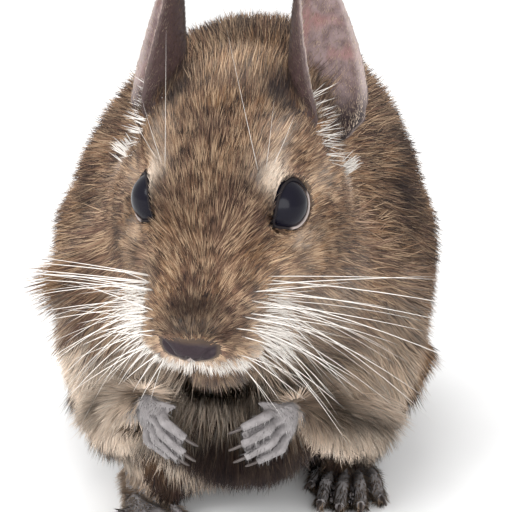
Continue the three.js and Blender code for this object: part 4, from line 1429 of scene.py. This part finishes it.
def strand(start, way, length, thick, droop):
    """A tapered, curved hair: its points and triangles"""
    share = np.linspace(0, 1, STRAND_STEPS)
    way = unit(way)
    down = np.array((0, 0, -1.0))
    line = start + np.outer(share * length, way) + np.outer(share**2 * droop * length, down)
    ahead = unit(np.gradient(line, axis=0))
    across = unit(np.cross(ahead, (0.1, 0.2, 1.0)))
    over = np.cross(across, ahead)
    radius = thick / 2 * (1 - share) ** 0.7
    turn = (np.arange(STRAND_SIDES) * 2 * math.pi / STRAND_SIDES)[None, :, None]
    ring = np.cos(turn) * across[:-1, None] + np.sin(turn) * over[:-1, None]
    rings = line[:-1, None] + radius[:-1, None, None] * ring
    points = np.concatenate((rings.reshape(-1, 3), line[-1:]))
    faces = []
    for row in range(STRAND_STEPS - 2):
        for n in range(STRAND_SIDES):
            a = row * STRAND_SIDES + n
            b = row * STRAND_SIDES + (n + 1) % STRAND_SIDES
            faces += [(a, a + STRAND_SIDES, b + STRAND_SIDES), (a, b + STRAND_SIDES, b)]
    last, tip = (STRAND_STEPS - 2) * STRAND_SIDES, len(points) - 1
    faces += [(last + n, tip, last + (n + 1) % STRAND_SIDES) for n in range(STRAND_SIDES)]
    faces += [(0, n, n + 1) for n in range(1, STRAND_SIDES - 1)]
    return points, np.array(faces)


# How many hairs of each kind a side has. The functions below give the start, way, length, thickness
# and droop of each one, in the head's frame.
PER_SIDE = {"rows": 6, "in a row": 9, "pad": 170, "lip": 260, "brow": 3, "ear": 64, "spot": 45}


def muzzle_whiskers(side, dice):
    """The long whiskers, in rows"""
    for row in range(PER_SIDE["rows"]):
        for n in range(PER_SIDE["in a row"]):
            start = np.array((side * (5.6 + 0.26 * n), 20.8 - 1.25 * n, -6.4 - 1.3 * row + 0.1 * n))
            start += dice.normal(0, 0.45, 3)
            fan = np.array((side * (0.95 - 0.05 * row), 0.12 - 0.03 * n, 0.12 - 0.20 * row))
            length = (10 + 2.6 * n) * dice.uniform(0.55, 1.15)
            thick = dice.uniform(0.12, 0.26)
            yield start, fan + dice.normal(0, 0.085, 3), length, thick, 0.03 + 0.04 * row


def pad_hairs(side, dice):
    """The short white hairs among the whiskers"""
    for _ in range(PER_SIDE["pad"]):
        start = np.array((side * dice.uniform(6.5, 9.5), dice.uniform(12, 19.5), dice.uniform(-15, -6.5)))
        fan = np.array((side * 1.0, dice.uniform(-0.4, 0.1), -0.16 * (-start[2] - 6.5)))
        yield start, fan + dice.normal(0, 0.15, 3), dice.uniform(3.0, 8.0), 0.18, 0.10


def lip_hairs(side, dice):
    """The shortest hairs, over the lips"""
    for _ in range(PER_SIDE["lip"]):
        start = np.array((side * dice.uniform(0.2, 7.5), 23.0, dice.uniform(-14.0, -10.2)))
        fan = np.array((side * 0.12 * abs(start[0]), 0.35, -1.0))
        yield start, fan + dice.normal(0, 0.2, 3), dice.uniform(1.0, 2.6), 0.12, 0.0


def brow_whiskers(side, dice):
    """The thin whiskers over an eye"""
    for n in range(PER_SIDE["brow"]):
        start = np.array((side * (8.4 + 0.9 * n), 2.5 - 1.2 * n, 8.0))
        fan = np.array((side * (-0.12 + 0.3 * n), -0.15, 0.97))
        yield start, fan, (25, 12, 9)[n], 0.09, -0.03 - 0.05 * n


def ear_hairs(side, dice):
    """The white hairs at the foot of an ear"""
    for n in range(PER_SIDE["ear"]):
        share = n / PER_SIDE["ear"]
        start = np.array((side * (11.2 + 3.8 * share), -14.5 + 4.0 * share, 8.8 - 8.3 * share))
        fan = np.array((side * 0.85, -0.42, 0.40 - 0.85 * share)) + dice.normal(0, 0.14, 3)
        yield start + dice.normal(0, 0.5, 3), fan, dice.uniform(2.5, 5.5), 0.19, 0.03


def spot_hairs(side, dice):
    """The white spot behind the cheek"""
    for _ in range(PER_SIDE["spot"]):
        start = np.array((side * 16.0, -14.6, -6.6)) + dice.normal(0, 0.5, 3)
        fan = np.array((side * 0.75, -0.45, 0.35)) + dice.normal(0, 0.15, 3)
        yield start, fan, dice.uniform(3.6, 4.8), 0.26, 0.0


HAIRS = (muzzle_whiskers, pad_hairs, lip_hairs, brow_whiskers, ear_hairs, spot_hairs)
WHISKER_SEED = 31


class DEGU_OT_whiskers(bpy.types.Operator):
    """Sets the whiskers in the muzzle and over the eyes, and the white hairs of the lips and ears"""

    bl_idname = "degu.whiskers"
    bl_label = "Whiskers"

    def execute(self, context):
        dice = np.random.default_rng(WHISKER_SEED)
        places = places_of(bpy.data.objects["skin"])
        tree = KDTree(len(places))
        for number, place in enumerate(places.tolist()):
            tree.insert(place, number)
        tree.balance()
        points, faces = [], []
        total = 0
        rows = [row for side in SIDES for hairs in HAIRS for row in hairs(side, dice)]
        for start, way, *sizes in rows:
            root = places[tree.find(on_head(start))[1]]
            shape, corners = strand(root, way @ HEAD_AXES, *sizes)
            points.append(shape)
            faces.append(corners + total)
            total += len(shape)
        finish = Finish("degu_whisker", Roughness=0.3, Specular_IOR_Level=0.6)
        grain = finish.noise(4.0, 1)
        finish.wear(Base_Color=finish.mix(grain, (0.58, 0.53, 0.48), (0.88, 0.85, 0.81)))
        piece = mesh_piece("whiskers", np.concatenate(points), np.concatenate(faces), finish.material)
        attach(piece, BODY)
        return {"FINISHED"}


# The stage

FLOOR_SIZE = 8.0
FLOOR_AT = (0, 2.0, 0)
VIEW_MIDDLE = (2.1, -57.4, 43.5)  # in millimetres
SENSOR_WIDTH = 36
NEAREST_SEEN = 0.01
LIGHT_AIM = (0, -0.04, 0.04)
# Each studio light's name, place, size and power
LIGHTS = (
    ("key", (-0.85, -0.8, 0.85), 0.8, 13),
    ("fill", (0.2, -1.0, 0.2), 0.9, 10),
    ("top", (-0.1, 0.3, 1.2), 0.8, 5),
)
SURROUNDINGS = 0.95


def set_floor(stage):
    """Lays a plain pale floor"""
    select_only(frame["nodes"]["trunk"])
    bpy.ops.mesh.primitive_plane_add(size=FLOOR_SIZE, location=FLOOR_AT)
    floor = bpy.context.object
    floor.name = "floor"
    finish = Finish("floor_paper", Roughness=0.9)
    grain = finish.noise(30.0, 2)
    finish.wear(Base_Color=finish.mix(grain, tuple(stage.floor), (0.86, 0.86, 0.86)))
    floor.data.materials.append(finish.material)
    bpy.ops.object.transform_apply(location=True)
    floor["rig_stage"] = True


def set_camera(scene, stage):
    """Sets the camera in front of the animal, a little above it"""
    back = Vector((0, -math.cos(stage.view_angle), math.sin(stage.view_angle)))
    camera = bpy.data.objects.new("camera", bpy.data.cameras.new("camera"))
    scene.collection.objects.link(camera)
    camera.location = Vector(VIEW_MIDDLE) * MM + back * stage.view_distance
    camera.rotation_euler = (-back).to_track_quat("-Z", "Y").to_euler()
    camera.data.lens = stage.lens
    camera.data.sensor_width = SENSOR_WIDTH
    camera.data.clip_start = NEAREST_SEEN
    scene.camera = camera


def set_lights(scene, stage):
    """Hangs the soft lights and makes the pale surroundings"""
    for name, at, size, power in LIGHTS:
        light = bpy.data.lights.new(name, "AREA")
        light.shape = "DISK"
        light.size = size
        light.energy = power * stage.light
        lamp = bpy.data.objects.new(name, light)
        lamp.location = at
        aim = Vector(LIGHT_AIM) - Vector(at)
        lamp.rotation_euler = aim.to_track_quat("-Z", "Y").to_euler()
        scene.collection.objects.link(lamp)
    world = bpy.data.worlds.new("studio")
    world.use_nodes = True
    colour, strength = world.node_tree.nodes["Background"].inputs[:2]
    colour.default_value = (1, 1, 1, 1)
    strength.default_value = SURROUNDINGS
    scene.world = world
    scene.view_settings.view_transform = "Standard"


class DEGU_OT_stage(bpy.types.Operator):
    """Sets the floor, the camera and the lights"""

    bl_idname = "degu.stage"
    bl_label = "Floor, camera and lights"

    def execute(self, context):
        stage = context.scene.degu_stage
        set_floor(stage)
        set_camera(context.scene, stage)
        set_lights(context.scene, stage)
        return {"FINISHED"}


# Settings, panel and registration


def colour_setting(name, description, default):
    """A colour that the user can change"""
    return bpy.props.FloatVectorProperty(
        name=name, description=description, default=default, subtype="COLOR", min=0, max=1
    )


class DEGU_PG_skin(bpy.types.PropertyGroup):
    """How fine the skin's mesh is"""

    cell: bpy.props.FloatProperty(
        name="Cell",
        description="Size of a cell of the skin's mesh",
        default=0.0005,
        unit="LENGTH",
        precision=5,
    )
    triangles: bpy.props.IntProperty(
        name="Triangles",
        description="Most triangles in the skin",
        default=190000,
    )


class DEGU_PG_coat(bpy.types.PropertyGroup):
    """How thick the coat is and its colours"""

    crowd: bpy.props.FloatProperty(
        name="Crowd",
        description="Share of the full number of tufts",
        default=1.0,
    )
    underfur: colour_setting("Underfur", "Colour at a tuft's root", (0.044, 0.029, 0.027))
    band: colour_setting("Band", "Colour of a tuft's middle", (0.24, 0.145, 0.100))
    warm_band: colour_setting("Warm band", "The same where the coat is warmer", (0.38, 0.205, 0.090))
    gold: colour_setting("Gold", "Colour of the palest hairs of the back", (0.64, 0.455, 0.29))
    russet: colour_setting("Russet", "Colour of the redder hairs", (0.130, 0.066, 0.048))
    cream: colour_setting("Cream", "Colour of the pale marks", (0.90, 0.73, 0.585))
    dark_tip: colour_setting("Dark tip", "Colour of the dark ticking", (0.016, 0.011, 0.012))


class DEGU_PG_stage(bpy.types.PropertyGroup):
    """The floor, the light and the view"""

    floor: colour_setting("Floor", "Colour of the floor", (0.92, 0.92, 0.92))
    light: bpy.props.FloatProperty(
        name="Light",
        description="Strength of the studio light",
        default=1.0,
    )
    view_angle: bpy.props.FloatProperty(
        name="View angle",
        description="How far the camera looks down",
        default=math.radians(15),
        subtype="ANGLE",
    )
    view_distance: bpy.props.FloatProperty(
        name="Distance",
        description="From the camera to the middle of the face",
        default=0.2553,
        unit="LENGTH",
    )
    lens: bpy.props.FloatProperty(
        name="Lens",
        description="The camera's focal length, in millimetres",
        default=105.1,
    )


STEPS = (
    DEGU_OT_stage,
    DEGU_OT_skin,
    DEGU_OT_eyes,
    DEGU_OT_claws,
    DEGU_OT_body_coat,
    DEGU_OT_head_coat,
    DEGU_OT_small_coats,
    DEGU_OT_whiskers,
)


class DEGU_PT_panel(bpy.types.Panel):
    """Lists the steps that make the degu"""

    bl_idname = "DEGU_PT_panel"
    bl_label = "Degu"
    bl_space_type = "VIEW_3D"
    bl_region_type = "UI"
    bl_category = "Degu"

    def draw(self, context):
        for step in STEPS:
            self.layout.operator(step.bl_idname)


SETTINGS = {"degu_skin": DEGU_PG_skin, "degu_coat": DEGU_PG_coat, "degu_stage": DEGU_PG_stage}
CLASSES = (*SETTINGS.values(), *STEPS, DEGU_PT_panel)


def register():
    for item in CLASSES:
        bpy.utils.register_class(item)
    for name, group in SETTINGS.items():
        setattr(bpy.types.Scene, name, bpy.props.PointerProperty(type=group))


def unregister():
    for name in SETTINGS:
        delattr(bpy.types.Scene, name)
    for item in reversed(CLASSES):
        bpy.utils.unregister_class(item)


def main():
    """Makes the whole model, one step after another"""
    register()
    for step in STEPS:
        group, name = step.bl_idname.split(".")
        getattr(getattr(bpy.ops, group), name)()
    boxes = {"cad": CAD_BOX, "visual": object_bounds()}
    {key: [[float(x) for x in corner] for corner in box] for key, box in boxes.items()}


if __name__ == "__main__":
    main()
